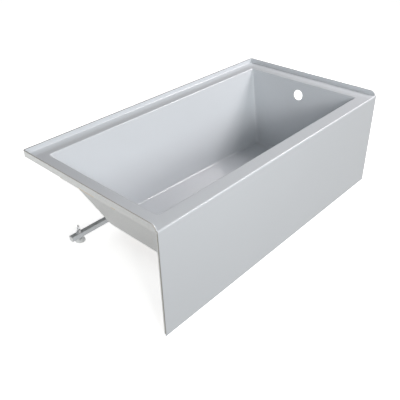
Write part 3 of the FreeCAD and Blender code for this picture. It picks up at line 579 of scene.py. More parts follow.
class Workpiece:
    """One mesh, shaped with the operators that a modeller uses by hand."""

    merge: float = 0.00001
    flat_angle: float = math.radians(0.6)
    sharp_angle: float = math.radians(30.0)
    eased_angle: float = 50.0

    def __init__(self, shape: Callable[..., set], **sizes: object) -> None:
        """Add a primitive with everything else deselected.

        Args:
            shape: The operator that adds it.
            sizes: The operator's sizes and place.
        """
        self.rest()
        shape(**sizes)
        self.object = bpy.context.active_object

    @staticmethod
    def rest() -> None:
        """Leave edit mode and deselect everything."""
        if bpy.context.mode != "OBJECT":
            bpy.ops.object.mode_set(mode="OBJECT")
        bpy.ops.object.select_all(action="DESELECT")

    @classmethod
    def from_mesh(cls, title: str, mesh: bpy.types.Mesh) -> "Workpiece":
        """A new piece with its own copy of a mesh.

        Args:
            title: The piece's name.
            mesh: The mesh to copy.

        Returns:
            The piece.
        """
        piece = cls.__new__(cls)
        piece.object = bpy.data.objects.new(title, mesh.copy())
        bpy.context.scene.collection.objects.link(piece.object)
        return piece

    @classmethod
    def from_node(cls, node: str) -> "Workpiece":
        """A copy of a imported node, with its loose triangles merged into plain faces.

        Args:
            node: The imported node's name.

        Returns:
            The piece.
        """
        piece = cls.from_mesh(node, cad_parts[node].data)
        piece.choose()
        bpy.ops.mesh.customdata_custom_splitnormals_clear()
        piece.pick(Pick.POINTS)
        bpy.ops.mesh.remove_doubles(threshold=cls.merge)
        bpy.ops.mesh.select_all(action="SELECT")
        bpy.ops.mesh.dissolve_limited(angle_limit=cls.flat_angle)
        cls.rest()
        return piece

    def choose(self) -> None:
        """Make this the one selected object."""
        self.rest()
        self.object.select_set(True)
        bpy.context.view_layer.objects.active = self.object

    def pick(self, kind: Pick, test: Callable[[object], bool] = lambda item: True) -> "Workpiece":
        """Go to edit mode and select what a test holds for.

        Args:
            kind: Points, edges or faces.
            test: Says whether a point, edge or face is selected.

        Returns:
            This piece.
        """
        if bpy.context.mode != "EDIT_MESH" or bpy.context.active_object != self.object:
            self.choose()
            bpy.ops.object.mode_set(mode="EDIT")
        bpy.ops.mesh.select_mode(type=kind.value)
        bpy.ops.mesh.select_all(action="DESELECT")
        mesh = bmesh.from_edit_mesh(self.object.data)
        items = {Pick.POINTS: mesh.verts, Pick.EDGES: mesh.edges, Pick.FACES: mesh.faces}[kind]
        for item in items:
            if test(item):
                item.select_set(True)
        mesh.select_flush_mode()
        bmesh.update_edit_mesh(self.object.data)
        return self

    def extrude(self, move: Triple) -> "Workpiece":
        """Extrude the selection along a vector."""
        bpy.ops.mesh.extrude_region_move(TRANSFORM_OT_translate={"value": move})
        return self

    def inset(self, thickness: float, depth: float = 0.0) -> "Workpiece":
        """Inset the selected faces, and lift the inner ones by a depth."""
        bpy.ops.mesh.inset(thickness=thickness, depth=depth)
        return self

    def move(self, by: Triple) -> "Workpiece":
        """Move the selection."""
        bpy.ops.transform.translate(value=by)
        return self

    def scale(self, by: Triple, centre: Triple) -> "Workpiece":
        """Scale the selection about a point."""
        bpy.ops.transform.resize(value=by, center_override=centre)
        return self

    def modify(self, kind: str, **settings: object) -> "Workpiece":
        """Add a modifier and apply it.

        Args:
            kind: The modifier's type.
            settings: The modifier's settings.

        Returns:
            This piece.
        """
        self.choose()
        modifier = self.object.modifiers.new(kind.lower(), kind)
        for name, setting in settings.items():
            setattr(modifier, name, setting)
        bpy.ops.object.modifier_apply(modifier=modifier.name)
        return self

    def settle(self) -> "Workpiece":
        """Put the object at the origin, with its place in its mesh.

        Returns:
            This piece.
        """
        self.choose()
        bpy.ops.object.transform_apply(location=True, rotation=True, scale=True)
        return self

    def smooth(self, degrees: float) -> "Workpiece":
        """Shade the piece smooth, except at its sharper edges.

        Args:
            degrees: The least angle of an edge that stays sharp.

        Returns:
            This piece.
        """
        self.choose()
        bpy.ops.object.shade_smooth_by_angle(angle=math.radians(degrees))
        return self

    def ease(self, width: float) -> "Workpiece":
        """Round the sharp edges, and keep the flat faces flat to look at."""
        self.modify("BEVEL", width=width, segments=2, limit_method="ANGLE", angle_limit=self.sharp_angle)
        return self.smooth(self.eased_angle).modify("WEIGHTED_NORMAL", keep_sharp=True)

    def roughen(self, size: float, height: float, direction: str = "NORMAL") -> "Workpiece":
        """Push the points to and fro by smooth noise.

        Args:
            size: How wide a lump is.
            height: How far the points move, in all.
            direction: The axis that they move along, or their own normals.

        Returns:
            This piece.
        """
        clouds = bpy.data.textures.new("lumps", "CLOUDS")
        clouds.noise_scale = size
        return self.modify("DISPLACE", texture=clouds, texture_coords="LOCAL", direction=direction,
                           strength=height, mid_level=0.5)

    def carve(self, cutters: "Sequence[Workpiece]") -> "Workpiece":
        """Cut other pieces' shapes out of this one, and use those pieces up.

        Args:
            cutters: The pieces to cut with.

        Returns:
            This piece.
        """
        for cutter in cutters:
            self.modify("BOOLEAN", object=cutter.object, operation="DIFFERENCE", solver="EXACT")
            cutter.discard()
        return self

    def join(self, others: "Sequence[Workpiece]") -> "Workpiece":
        """Take other pieces into this one.

        Args:
            others: The pieces to take in.

        Returns:
            This piece.
        """
        self.choose()
        for other in others:
            other.object.select_set(True)
        bpy.ops.object.join()
        return self

    def copy(self, by: Triple, turn: Triple = UNTURNED) -> "Workpiece":
        """Copy the piece, turned about the origin and moved, with its own mesh.

        Args:
            by: How far it moves.
            turn: How it turns about each axis.

        Returns:
            The copy.
        """
        twin = Workpiece.from_mesh(self.object.name, self.object.data)
        twin.object.rotation_euler = turn
        twin.object.location = by
        return twin.settle()

    def discard(self) -> None:
        """Delete the piece."""
        bpy.data.objects.remove(self.object)

    def hand_over(self, title: str, body: str, slot: str, finish: Finish,
                  replaces: Sequence[str] = ()) -> None:
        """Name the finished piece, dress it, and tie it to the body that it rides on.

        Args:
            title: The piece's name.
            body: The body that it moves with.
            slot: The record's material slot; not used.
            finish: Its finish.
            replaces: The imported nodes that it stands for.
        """
        self.settle()
        self.rest()
        self.object.name = title
        self.object.data.name = title
        self.object.data.materials.clear()
        self.object.data.materials.append(finish.material())
        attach(self.object, body)
        if replaces:
            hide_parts(*replaces)
        log.info("%s: %d faces", title, len(self.object.data.polygons))


def dress(node: str, finish: Finish) -> None:
    """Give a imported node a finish."""
    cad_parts[node].material_slots[0].material = finish.material()
    log.info("%s: %s", node, finish.title)


# ---------------- the tub's sub-assemblies

STATIONS = ("lounge", "middle", "drain")
SIDES = ("front", "back")
TIES = ("apron_tie_lounge", "apron_tie_drain")


def middle_of(node: str) -> Vector:
    """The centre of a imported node's box."""
    low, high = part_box(node)
    return (low + high) / 2


def up_by(height: float) -> Vector:
    """A step straight up."""
    return Vector((0.0, 0.0, height))


def faces_up(face: bmesh.types.BMFace) -> bool:
    """Whether a face looks up."""
    return face.normal.z > FACING


def faces_down(face: bmesh.types.BMFace) -> bool:
    """Whether a face looks down."""
    return face.normal.z < -FACING


@dataclass
class Shell:
    """The formed acrylic sheet and the glass-fibre laminate behind it."""

    def build(self) -> None:
        """Dress both skins."""
        dress("acrylic_shell", ACRYLIC)
        dress("fibreglass_backing", LAMINATE)


@dataclass
class TimberWork:
    """The softwood under the deck, behind the apron and on the frame, and the board under the floor."""

    board_edge: float = 0.0012
    timber_edge: float = 0.0018
    packer_edge: float = 0.0006

    def build(self) -> None:
        """Ease every piece's edges and lay its grain along it."""
        for node, grain in {
            "deck_batten_front": Grain.ALONG, "deck_batten_back": Grain.ALONG,
            "deck_batten_lounge": Grain.ACROSS, "deck_batten_drain": Grain.ACROSS,
            "apron_foot_rail": Grain.ALONG, "apron_stiffener_lounge": Grain.UPRIGHT,
            "apron_stiffener_middle": Grain.UPRIGHT, "apron_stiffener_drain": Grain.UPRIGHT,
        }.items():
            self.planed(node, grain, self.timber_edge)
        for station in STATIONS:
            self.planed("packer_" + station, Grain.ACROSS, self.packer_edge)
        board = Workpiece.from_node("base_board").ease(self.board_edge)
        board.hand_over("eased_base_board", TUB, "board", BOARD, ["base_board"])

    @staticmethod
    def planed(node: str, grain: Grain, edge: float) -> None:
        """Stand a piece with eased edges in for a packed timber node, with its grain along a way."""
        timber = Workpiece.from_node(node).ease(edge)
        timber.hand_over("planed_" + node, TUB, "timber", PINE[grain], [node])


@dataclass
class LevelFrame:
    """The welded tube frame, its weld beads and its end caps."""

    bead: float = 0.0022
    bead_sides: int = 8
    bead_rings: int = 6
    flattening: float = 0.4
    ripple: float = 0.0014
    bead_lump: float = 0.004
    bead_noise: float = 0.0007
    tack_side: float = 0.009
    tack_turns: Triple = (30.0, 150.0, 270.0)
    cap_ring: float = 0.003
    cap_step: float = 0.001
    cap_sink: float = 0.0008
    cap_edge: float = 0.0006

    def build(self) -> None:
        """Dress the tubes, lay the welds and cap the ends."""
        for station in STATIONS:
            dress("cross_rail_" + station, GALVANISED)
        for side in SIDES:
            dress(side + "_side_rail", GALVANISED)
        self.weld_beads().hand_over("weld_beads", TUB, "galvanised", WELD)
        self.end_caps().hand_over("moulded_end_caps", TUB, "nylon", NYLON, ["rail_end_caps"])

    def seam(self, start: Vector, end: Vector) -> Workpiece:
        """Lay one weld: a row of overlapping ripples.

        Args:
            start: Where the weld starts.
            end: Where it ends.

        Returns:
            The weld.
        """
        run = end - start
        count = max(int(run.length / self.ripple), 2)
        ripple = Workpiece(bpy.ops.mesh.primitive_uv_sphere_add, segments=self.bead_sides,
                           ring_count=self.bead_rings, radius=self.bead, location=start)
        ripple.object.scale = [1.0 - self.flattening * abs(part) / run.length for part in run]
        step = run / (count - 1)
        return ripple.settle().modify("ARRAY", count=count, use_relative_offset=False,
                                      use_constant_offset=True, constant_offset_displace=step)

    def weld_beads(self) -> Workpiece:
        """Lay every weld on the frame, as one piece.

        Returns:
            The welds.
        """
        seams = []
        for station in STATIONS:
            low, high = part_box("cross_rail_" + station)
            for y in (low.y, high.y):
                corners = [Vector((x, y, z)) for x, z in (
                    (low.x, low.z), (low.x, high.z), (high.x, high.z), (high.x, low.z))]
                seams += [self.seam(corners[turn], corners[(turn + 1) % 4]) for turn in range(4)]
            for side in SIDES:
                seams += self.nut_tacks("foot_weld_nut_%s_%s" % (side, station))
        return seams[0].join(seams[1:]).roughen(self.bead_lump, self.bead_noise).smooth(HALF_TURN)

    def nut_tacks(self, node: str) -> "list[Workpiece]":
        """Weld a nut's foot on three of its sides.

        Args:
            node: The nut.

        Returns:
            The welds.
        """
        low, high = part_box(node)
        centre = middle_of(node)
        reach = (high.y - low.y) / 2
        tacks = []
        for turn in self.tack_turns:
            way = heading(turn)
            along = Vector((-way.y, way.x, 0.0)) * self.tack_side / 2
            foot = Vector((centre.x, centre.y, low.z)) + way * reach
            tacks.append(self.seam(foot - along, foot + along))
        return tacks

    def end_caps(self) -> Workpiece:
        """Sink a panel in the face of each of the four caps.

        Returns:
            The caps, as one piece.
        """
        caps = Workpiece.from_node("rail_end_caps")
        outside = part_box("rail_end_caps")[1].x - HAIR
        caps.pick(Pick.FACES, lambda face: abs(face.calc_center_median().x) > outside)
        caps.inset(self.cap_ring).inset(self.cap_step, -self.cap_sink)
        return caps.ease(self.cap_edge)


@dataclass
class LevellingFeet:
    """Six feet alike, each a threaded rod that turns in a ribbed pad; one is modelled and copied."""

    pattern: str = "front_lounge"
    rod_radius: float = 0.006
    rod_edge: float = 30.0
    rod_chamfer: float = 0.0015
    collar_top: float = 0.015
    thread_pitch: float = 0.00175
    thread_root: float = 0.0051
    thread_crest: float = 0.00594
    thread_foot: float = 0.86
    crest_share: float = 0.2
    thread_sides: int = 16
    pad_sides: int = 64
    pad_radius: float = 0.025
    pad_rim: float = 0.005
    pad_height: float = 0.010
    pad_crown: float = 0.0125
    pad_edge: float = 0.0005
    socket: float = 0.0062
    socket_floor: float = 0.003
    grooves: int = 3
    groove: float = 0.0022
    groove_depth: float = 0.0008
    ribs: int = 12
    rib_width: float = 0.0016
    rib_height: float = 0.006
    rib_middle: float = 0.0065
    rib_inner: float = 0.0105
    rib_outer: float = 0.0235
    rib_fall: float = 0.0035
    rib_edge: float = 0.0003

    def axis(self, foot: str) -> Vector:
        """Where a foot's axis meets the floor."""
        centre = middle_of("foot_rod_" + foot)
        return Vector((centre.x, centre.y, 0.0))

    def thread(self, top: float) -> Workpiece:
        """Wind a right-hand thread's ridge up round the rod.

        Args:
            top: How high the ridge goes.

        Returns:
            The ridge.
        """
        foot = self.axis(self.pattern) + up_by(self.collar_top)
        ridge = Workpiece(bpy.ops.mesh.primitive_plane_add, size=1.0, location=foot,
                          rotation=(math.pi / 2, 0.0, 0.0))
        bpy.ops.object.transform_apply(location=False, rotation=True, scale=True)
        depth = self.thread_crest - self.thread_root
        middle = (self.thread_crest + self.thread_root) / 2
        crest = Vector((middle, 0.0, self.thread_pitch / 2))
        ridge.pick(Pick.POINTS).scale((depth, 1.0, self.thread_foot * self.thread_pitch), foot).move(crest)
        ridge.pick(Pick.POINTS, lambda point: point.co.x > middle)
        ridge.scale((1.0, 1.0, self.crest_share), foot + crest)
        ridge.pick(Pick.FACES)
        bpy.ops.mesh.delete(type="ONLY_FACE")
        turns = int((top - self.collar_top) / self.thread_pitch) - 1
        ridge.modify("SCREW", axis="Z", screw_offset=self.thread_pitch, iterations=turns,
                     steps=self.thread_sides, render_steps=self.thread_sides)
        ridge.pick(Pick.EDGES, lambda edge: edge.is_boundary)
        bpy.ops.mesh.fill_holes(sides=4)
        ridge.pick(Pick.FACES)
        bpy.ops.mesh.normals_make_consistent(inside=False)
        return ridge.settle()

    def rod(self) -> Workpiece:
        """Make the rod: its collar and slot as packed, its shank turned down, and its thread.

        Returns:
            The rod.
        """
        node = "foot_rod_" + self.pattern
        rod, axis = Workpiece.from_node(node), self.axis(self.pattern)
        rod.pick(Pick.POINTS, lambda point: point.co.z > self.collar_top - HAIR
                 and (point.co.xy - axis.xy).length < self.rod_radius + HAIR)
        share = self.thread_root / self.rod_radius
        rod.scale((share, share, 1.0), axis)
        return rod.smooth(self.rod_edge).join([self.thread(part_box(node)[1].z - self.rod_chamfer)])

    def pad(self) -> Workpiece:
        """Make the pad: a disc with a coned top, a socket, ribs, and grip rings under it.

        Returns:
            The pad.
        """
        axis = self.axis(self.pattern)
        pad = Workpiece(bpy.ops.mesh.primitive_cylinder_add, vertices=self.pad_sides, radius=self.pad_radius,
                        depth=self.pad_rim, location=axis + up_by(self.pad_rim / 2))
        pad.settle().pick(Pick.FACES, faces_up)
        pad.inset(self.pad_radius - self.pad_crown, self.pad_height - self.pad_rim)
        pad.inset(self.pad_crown - self.socket)
        pad.extrude(up_by(self.socket_floor - self.pad_height))
        pad.pick(Pick.FACES, faces_down)
        for ring in range(self.grooves):
            pad.inset(self.groove).inset(self.groove)
            middle = self.pad_radius - (2 * ring + 1.5) * self.groove
            pad.pick(Pick.FACES, lambda face: faces_down(face) and len(face.verts) == 4 and abs(
                (face.calc_center_median().xy - axis.xy).length - middle) < self.groove / 3)
            pad.extrude(up_by(self.groove_depth))
            pad.pick(Pick.FACES, lambda face: faces_down(face) and len(face.verts) == self.pad_sides)
        return pad.ease(self.pad_edge).join([self.rib_set(axis)])

    def rib_set(self, axis: Vector) -> Workpiece:
        """Make the ribs that stiffen the pad's cone.

        Args:
            axis: Where the foot's axis meets the floor.

        Returns:
            The ribs.
        """
        middle = Vector(((self.rib_inner + self.rib_outer) / 2, 0.0, self.rib_middle))
        rib = Workpiece(bpy.ops.mesh.primitive_cube_add, size=1.0, location=axis + middle,
                        scale=(self.rib_outer - self.rib_inner, self.rib_width, self.rib_height))
        rib.settle().pick(Pick.POINTS, lambda point: point.co.x > axis.x + middle.x
                          and point.co.z > self.pad_rim)
        rib.move(up_by(-self.rib_fall)).ease(self.rib_edge).pick(Pick.FACES)
        bpy.ops.mesh.spin(steps=self.ribs - 1, dupli=True, angle=2 * math.pi * (self.ribs - 1) / self.ribs,
                          center=axis, axis=(0.0, 0.0, 1.0))
        rib.rest()
        return rib

    def build(self) -> None:
        """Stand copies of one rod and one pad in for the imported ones, and dress the nuts."""
        rod, pad, start = self.rod(), self.pad(), self.axis(self.pattern)
        for foot in ("%s_%s" % (side, station) for side in SIDES for station in STATIONS):
            way = self.axis(foot) - start
            rod.copy(way).hand_over("threaded_rod_" + foot, "rod_" + foot, "zinc", ZINC, ["foot_rod_" + foot])
            pad.copy(way).hand_over("ribbed_pad_" + foot, "pad_" + foot, "nylon", NYLON, ["foot_pad_" + foot])
            for nut in ("foot_weld_nut_", "foot_lock_nut_"):
                dress(nut + foot, ZINC)
        rod.discard()
        pad.discard()


@dataclass
class ApronTies:
    """The bent plates that tie the apron's foot to the frame."""

    edge: float = 0.0004

    def build(self) -> None:
        """Ease the plates' edges."""
        for node in TIES:
            plate = Workpiece.from_node(node).ease(self.edge)
            plate.hand_over("pressed_" + node, TUB, "galvanised", GALVANISED, [node])


@dataclass
class Screws:
    """The board's screws and the ties' screws, with pan heads and cross recesses."""

    head: float = 0.00495
    head_height: float = 0.00295
    head_sides: int = 32
    head_edge: float = 35.0
    shank: float = 0.00245
    point: float = 0.003675
    point_share: float = 0.12
    pan_rim: float = 0.0012
    pan_fall: float = 0.00084
    recess_length: float = 0.0054
    recess_width: float = 0.0011
    recess_depth: float = 0.0018
    recess_taper: Triple = (0.45, 0.7, 1.0)
    board_rows: tuple[float, ...] = (-0.15, -0.06, 0.06, 0.15)
    board_bite: float = 0.0075
    plate: float = 0.0025
    tie_row: float = -0.33
    tie_middle: float = 0.01125
    down_length: float = 0.0145
    inward_length: float = 0.0115

    def recess_bar(self, turn: float) -> Workpiece:
        """Make one tapered bar of the cross that the driver fits, at the head's face.

        Args:
            turn: How the bar is turned about the screw.

        Returns:
            The bar.
        """
        face = up_by(-self.head_height)
        bar = Workpiece(bpy.ops.mesh.primitive_cube_add, size=1.0, location=face,
                        scale=(self.recess_length, self.recess_width, 2 * self.recess_depth))
        bar.settle().pick(Pick.POINTS, lambda point: point.co.z > face.z).scale(self.recess_taper, face)
        bar.rest()
        bar.object.rotation_euler.z = turn
        return bar.settle()

    def screw(self, length: float) -> Workpiece:
        """Make one screw, its head hanging below the origin and its shank standing on it.

        Args:
            length: From under the head to the point.

        Returns:
            The screw.
        """
        screw = Workpiece(bpy.ops.mesh.primitive_cylinder_add, vertices=self.head_sides, radius=self.head,
                          depth=self.head_height, location=up_by(-self.head_height / 2))
        screw.settle().pick(Pick.FACES, faces_up).inset(self.head - self.shank)
        screw.extrude(up_by(length - self.point)).extrude(up_by(self.point))
        screw.scale((self.point_share, self.point_share, 1.0), up_by(length))
        screw.pick(Pick.FACES, faces_down).inset(self.pan_rim)
        screw.pick(Pick.POINTS, lambda point: point.co.z < HAIR - self.head_height
                   and point.co.xy.length > self.head - self.pan_rim / 2)
        screw.move(up_by(self.pan_fall))
        return screw.carve([self.recess_bar(turn) for turn in (0.0, math.pi / 2)]).smooth(self.head_edge)

    def spread(self, length: float, places: Sequence[Triple], turn: Triple = UNTURNED) -> Workpiece:
        """Model a screw and copy it to some places.

        Args:
            length: The screw's length.
            places: Where each screw's head sits.
            turn: How the screws are turned.

        Returns:
            All the copies, as one piece.
        """
        screw = self.screw(length)
        copies = [screw.copy(place, turn) for place in places]
        screw.discard()
        return copies[0].join(copies[1:])

    def build(self) -> None:
        """Drive the board's screws up from under the cross rails, and the ties' screws down and forward."""
        board = []
        for station in STATIONS:
            middle, low = middle_of("cross_rail_" + station).x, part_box("cross_rail_" + station)[0].z
            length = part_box("packer_" + station)[1].z + self.board_bite - low
            board.append(self.spread(length, [(middle, y, low) for y in self.board_rows]))
        board[0].join(board[1:]).hand_over("pan_head_board_screws", TUB, "zinc", ZINC, ["base_board_screws"])

        ties = [(middle_of(node).x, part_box(node)[0]) for node in TIES]
        down = [(x, self.tie_row, low.z + self.plate) for x, low in ties]
        inward = [(x, low.y + self.plate, low.z + self.tie_middle) for x, low in ties]
        screws = self.spread(self.down_length, down, (math.pi, 0.0, 0.0))
        screws.join([self.spread(self.inward_length, inward, (math.pi / 2, 0.0, 0.0))])
        screws.hand_over("pan_head_tie_screws", TUB, "zinc", ZINC, ["apron_tie_screws"])


def over(first: float, last: float, seat: float, crown: float, before: float,
         after: float) -> list[tuple[float, float]]:
    """A strap's path over a timber's crown, from a lap on its seat before it to a lap after it."""
    return [(first - before, seat), (first, seat), (first, crown), (last, crown), (last, seat),
            (last + after, seat)]


@dataclass
class MatStraps:
    """Strips of glass mat that bond the timber to the laminate, laid over it in wet resin."""

    thickness: float = 0.0011
    lift: float = 0.0004
    fold: float = 0.0018
    fold_angle: float = math.radians(40.0)
    smooth_angle: float = 60.0
    ragged: float = 0.016
    ragged_size: float = 0.012
    lump: float = 0.0008
    lump_size: float = 0.006
    batten_width: float = 0.10
    stiffener_width: float = 0.085
    deck_lap: float = 0.013
    apron_lap: float = 0.028
    hung: Sequence[tuple] = (
        ("back", 0, (0.006, 0.013), (-0.62, -0.31, 0.0, 0.31, 0.62)),
        ("lounge", 1, (0.003, 0.007), (-0.1, 0.1)),
        ("drain", 1, (0.013, 0.003), (-0.1, 0.1)))
    front_places: Sequence[float] = (-0.62, -0.24, 0.24, 0.62)
    rail_places: Sequence[float] = (-0.6, -0.15, 0.15, 0.6)
    stiffener_heights: Sequence[float] = (0.19, 0.37)

    def strap(self, path: Sequence[tuple[float, float]], plane: tuple[int, int], place: float,
              width: float) -> Workpiece:
        """Lay one strip of mat.

        Args:
            path: Points along the strip, in a plane across the timber.
            plane: That plane's two axes, as numbers.
            place: Where the strip's middle is along the timber.
            width: The strip's width along the timber.

        Returns:
            The strip.
        """
        along = 3 - sum(plane)
        points = []
        for pair in path:
            point = Vector((place, place, place))
            point[plane[0]], point[plane[1]] = pair
            points.append(point)
        strip = Workpiece(bpy.ops.mesh.primitive_plane_add, size=width)
        strip.pick(Pick.POINTS, lambda point: point.co.y > 0.0)
        bpy.ops.mesh.delete(type="VERT")
        strip.pick(Pick.POINTS).move((0.0, width / 2, 0.0))
        strip.rest()
        way = Vector(UNTURNED)
        way[along] = 1.0
        strip.object.rotation_euler = Vector((1.0, 0.0, 0.0)).rotation_difference(way).to_euler()
        strip.object.location = points[0]
        strip.settle().pick(Pick.EDGES)
        for start, end in zip(points, points[1:]):
            strip.extrude(end - start)
        strip.pick(Pick.FACES)
        bpy.ops.mesh.normals_make_consistent(inside=False)
        strip.modify("BEVEL", width=self.fold, segments=2, limit_method="ANGLE", angle_limit=self.fold_angle)
        strip.modify("SUBSURF", subdivision_type="SIMPLE", levels=2)
        strip.roughen(self.ragged_size, self.ragged, "XYZ"[along])
        return strip.modify("SOLIDIFY", thickness=self.thickness, offset=1.0)

    def straps(self, path: Sequence[tuple[float, float]], plane: tuple[int, int],
               places: Sequence[float]) -> list[Workpiece]:
        """Strips along one timber; those over an upright are narrower."""
        width = self.stiffener_width if 2 not in plane else self.batten_width
        return [self.strap(path, plane, place, width) for place in places]

    def over_battens(self) -> list[Workpiece]:
        """Lay the straps over the battens under the deck.

        Returns:
            The straps.
        """
        straps = []
        for side, along, (before, after), places in self.hung:
            low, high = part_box("deck_batten_" + side)
            first, last = low[1 - along] - self.lift, high[1 - along] + self.lift
            bottom, top = low.z - self.lift, high.z - self.lift
            straps += self.straps(over(first, last, top, bottom, before, after), (1 - along, 2), places)
        low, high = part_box("deck_batten_front")
        back, inner = low.y + self.lift, high.y + self.lift
        bottom, top = low.z - self.lift, high.z - self.lift
        path = [(back, bottom - self.apron_lap), (back, bottom), (inner, bottom), (inner, top),
                (inner + self.deck_lap, top)]
        return straps + self.straps(path, (1, 2), self.front_places)

    def over_apron_timber(self) -> list[Workpiece]:
        """Lay the straps over the rail and the uprights behind the apron.

        Returns:
            The straps.
        """
        low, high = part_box("apron_foot_rail")
        back, face = low.y + self.lift, high.y + self.lift
        bottom, top = low.z - self.lift, high.z + self.lift
        path = [(back, top + self.apron_lap), (back, top), (face, top), (face, bottom), (back, bottom)]
        straps = self.straps(path, (1, 2), self.rail_places)
        for station in STATIONS:
            low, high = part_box("apron_stiffener_" + station)
            left, right = low.x - self.lift, high.x + self.lift
            path = over(left, right, back, face, self.apron_lap, self.apron_lap)
            straps += self.straps(path, (0, 1), self.stiffener_heights)
        return straps

    def build(self) -> None:
        """Lay all the straps, as one piece."""
        straps = self.over_battens() + self.over_apron_timber()
        mat = straps[0].join(straps[1:]).roughen(self.lump_size, self.lump).smooth(self.smooth_angle)
        mat.hand_over("glass_mat_straps", TUB, "laminate", LAMINATE)


# ---------------- camera and studio

@dataclass
class PhotoCamera:
    """The camera that the reference picture was taken with, found from the tub's own edges."""

    place: Triple = (-1.64564, -1.45963, 1.52917)
    turn_degrees: Triple = (56.8472, 0.599, -48.1265)
    lens: float = 46.822
    sensor: float = 36.0
    shift: tuple[float, float] = (-0.0325, -0.0125)

    def build(self) -> None:
        """Add the camera and make it the scene's own."""
        data = bpy.data.cameras.new("photo_camera")
        data.lens = self.lens
        data.sensor_width = self.sensor
        data.sensor_fit = "HORIZONTAL"
        data.shift_x, data.shift_y = self.shift
        camera = bpy.data.objects.new("photo_camera", data)
        camera.location = self.place
        camera.rotation_euler = tuple(math.radians(angle) for angle in self.turn_degrees)
        bpy.context.scene.collection.objects.link(camera)
        bpy.context.scene.camera = camera


@dataclass(frozen=True)
class Lamp:
    """A soft lamp, at an azimuth and an elevation as seen from the tub, in degrees."""

    title: str
    azimuth: float
    elevation: float
    energy: float
    colour: Triple = WHITE

    @property
    def way(self) -> Vector:
        """The way from the tub to the lamp."""
        return heading(self.azimuth, self.elevation)

    def hang(self, data: bpy.types.Light, place: Vector, turn: Quaternion) -> None:
        """Add the lamp to the scene.

        Args:
            data: The lamp's own data.
            place: Where it hangs.
            turn: How it is turned.
        """
        data.energy, data.color = self.energy, self.colour
        lamp = bpy.data.objects.new(self.title, data)
        lamp.location, lamp.rotation_euler = place, turn.to_euler()
        lamp.visible_camera = False
        bpy.context.scene.collection.objects.link(lamp)


@dataclass(frozen=True)
class SoftSun(Lamp):
    """A distant lamp; its angle is how wide it looks from the tub, in degrees."""

    angle: float = 10.0

    def build(self) -> None:
        """Add the lamp, shining from its azimuth and elevation."""
        data = bpy.data.lights.new(self.title, "SUN")
        data.angle = math.radians(self.angle)
        self.hang(data, Vector(UNTURNED), self.way.to_track_quat("Z", "Y"))


@dataclass(frozen=True)
class Softbox(Lamp):
    """A square lamp near the tub, at some distance from a point by its middle, and aimed at the tub."""

    distance: float = 2.6
    side: float = 0.7
    pivot: Triple = (0.0, 0.0, 0.4)
    aim: Triple = (0.0, 0.0, 0.35)

    def build(self) -> None:
        """Add the lamp, at its azimuth and elevation, where no camera sees it."""
        data = bpy.data.lights.new(self.title, "AREA")
        data.shape, data.size = "SQUARE", self.side
        place = Vector(self.pivot) + self.distance * self.way
        self.hang(data, place, (Vector(self.aim) - place).to_track_quat("-Z", "Y"))


@dataclass(frozen=True)
class LowSoftbox(Softbox):
    """A lamp lower than the deck, which lights the walls' backs and nothing inside the tub."""

    side: float = 0.4
    pivot: Triple = (0.0, 0.0, 0.22)
    aim: Triple = (0.0, 0.0, 0.22)


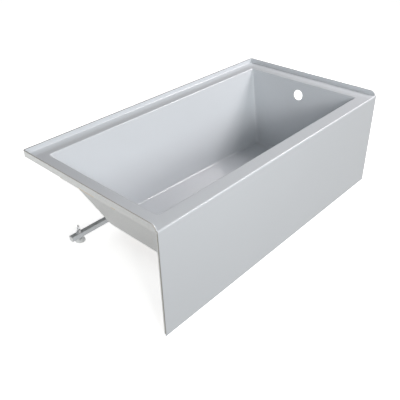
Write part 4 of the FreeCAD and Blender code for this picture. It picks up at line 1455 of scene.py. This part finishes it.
@dataclass
class Studio:
    """A pale floor under a faint sky, with soft lamps in front of the apron, at the drain end and behind."""

    floor_side: float = 60.0
    floor_grey: float = 0.86
    floor_bounce: float = 0.12
    floor_glow: float = 0.64
    mirrored_floor: float = 0.7
    sky: float = 0.08
    mirrored_sky: float = 0.1
    lamps: Sequence[Lamp] = (
        SoftSun("front_lamp", -115.0, 25.0, 0.709, colour=(1.0, 0.986, 0.966)),
        SoftSun("low_front_lamp", -105.0, 18.0, 0.451, colour=(0.95, 1.0, 1.0)),
        SoftSun("left_front_lamp", -130.0, 18.0, 0.153),
        SoftSun("corner_lamp", -60.0, 40.0, 0.230, colour=(1.0, 0.955, 0.925)),
        SoftSun("middle_lamp", -47.0, 35.0, 0.320, colour=(1.0, 0.96, 0.94), angle=7.0),
        SoftSun("right_lamp", -40.0, 33.0, 0.300, colour=(1.0, 0.963, 0.955)),
        SoftSun("left_lamp", 180.0, 12.0, 0.176, angle=20.0),
        SoftSun("low_left_lamp", -160.0, 4.0, 0.218, angle=20.0),
        SoftSun("back_lamp", 95.0, 10.0, 0.4, angle=30.0),
        Softbox("near_front_box", -110.0, 35.0, 10.2, distance=2.0),
        Softbox("drain_box", -25.0, 42.0, 7.6, colour=(1.0, 0.95, 0.95)),
        Softbox("end_box", -12.0, 42.0, 13.3, colour=(1.0, 0.95, 0.955)),
        Softbox("low_end_box", -12.0, 30.0, 8.4, colour=(1.0, 0.93, 0.935)),
        LowSoftbox("back_box", 100.0, 0.0, 26.0),
        LowSoftbox("lounge_box", 165.0, 0.0, 15.0),
        LowSoftbox("drain_end_box", 15.0, 0.0, 15.0),
    )

    @staticmethod
    def sort_rays(graph: Graph, lit: Value, mirrored: Value, seen: Value) -> Value:
        """Give each kind of ray a shader of its own.

        Args:
            graph: The node tree.
            lit: For the rays that light the tub.
            mirrored: For the rays that its gloss sends out.
            seen: For the rays that come from the camera, straight or through glass.

        Returns:
            The shader.
        """
        path = graph.node("ShaderNodeLightPath")
        camera, gloss, glass = (Value(graph, path.outputs[name])
                                for name in ("Is Camera Ray", "Is Glossy Ray", "Is Transmission Ray"))
        unseen = graph.value("ShaderNodeMixShader", sockets={0: gloss, 1: lit, 2: mirrored})
        return graph.value("ShaderNodeMixShader",
                           sockets={0: graph.math("MAXIMUM", camera, glass), 1: unseen, 2: seen})

    def build(self) -> None:
        """Set the colour view, then add the floor, the sky and the lamps."""
        bpy.context.scene.view_settings.view_transform = "Standard"
        self.build_floor()
        self.build_sky()
        for lamp in self.lamps:
            lamp.build()

    def build_floor(self) -> None:
        """Add a floor that looks white in the open and keeps the tub's shadow."""
        bpy.ops.mesh.primitive_plane_add(size=self.floor_side)
        floor = bpy.context.active_object
        floor.name = "studio_floor"
        material = bpy.data.materials.new("studio_floor")
        material.use_nodes = True
        graph = Graph(material.node_tree)
        plain, dim = (graph.value("ShaderNodeBsdfDiffuse", sockets={"Color": rgba((grey, grey, grey))})
                      for grey in (self.floor_grey, self.floor_bounce))
        mirrored = self.glowing(graph, dim, self.mirrored_floor)
        seen = self.glowing(graph, plain, self.floor_glow)
        sorted_rays = self.sort_rays(graph, dim, mirrored, seen)
        graph.node("ShaderNodeOutputMaterial", sockets={"Surface": sorted_rays})
        floor.data.materials.append(material)

    @staticmethod
    def glowing(graph: Graph, surface: Value, strength: float) -> Value:
        """Add a glow to a surface."""
        glow = graph.value("ShaderNodeEmission", sockets={"Strength": strength})
        return graph.value("ShaderNodeAddShader", sockets={0: surface, 1: glow})

    def build_sky(self) -> None:
        """Light the tub faintly from all round, and show white where the sky is seen."""
        world = bpy.data.worlds.new("studio_sky")
        bpy.context.scene.world = world
        world.use_nodes = True
        graph = Graph(world.node_tree)
        lit, mirrored, white = (graph.value("ShaderNodeBackground",
                                            sockets={"Color": rgba(WHITE), "Strength": strength})
                                for strength in (self.sky, self.mirrored_sky, 1.0))
        graph.node("ShaderNodeOutputWorld", sockets={"Surface": self.sort_rays(graph, lit, mirrored, white)})


def main() -> None:
    """Build the camera, the studio and the tub's looks, and log each piece's finish or face count."""
    logging.basicConfig(level=logging.INFO, format="%(message)s")
    PhotoCamera().build()
    Studio().build()
    Shell().build()
    TimberWork().build()
    LevelFrame().build()
    LevellingFeet().build()
    ApronTies().build()
    Screws().build()
    MatStraps().build()


if __name__ == "__main__":
    main()
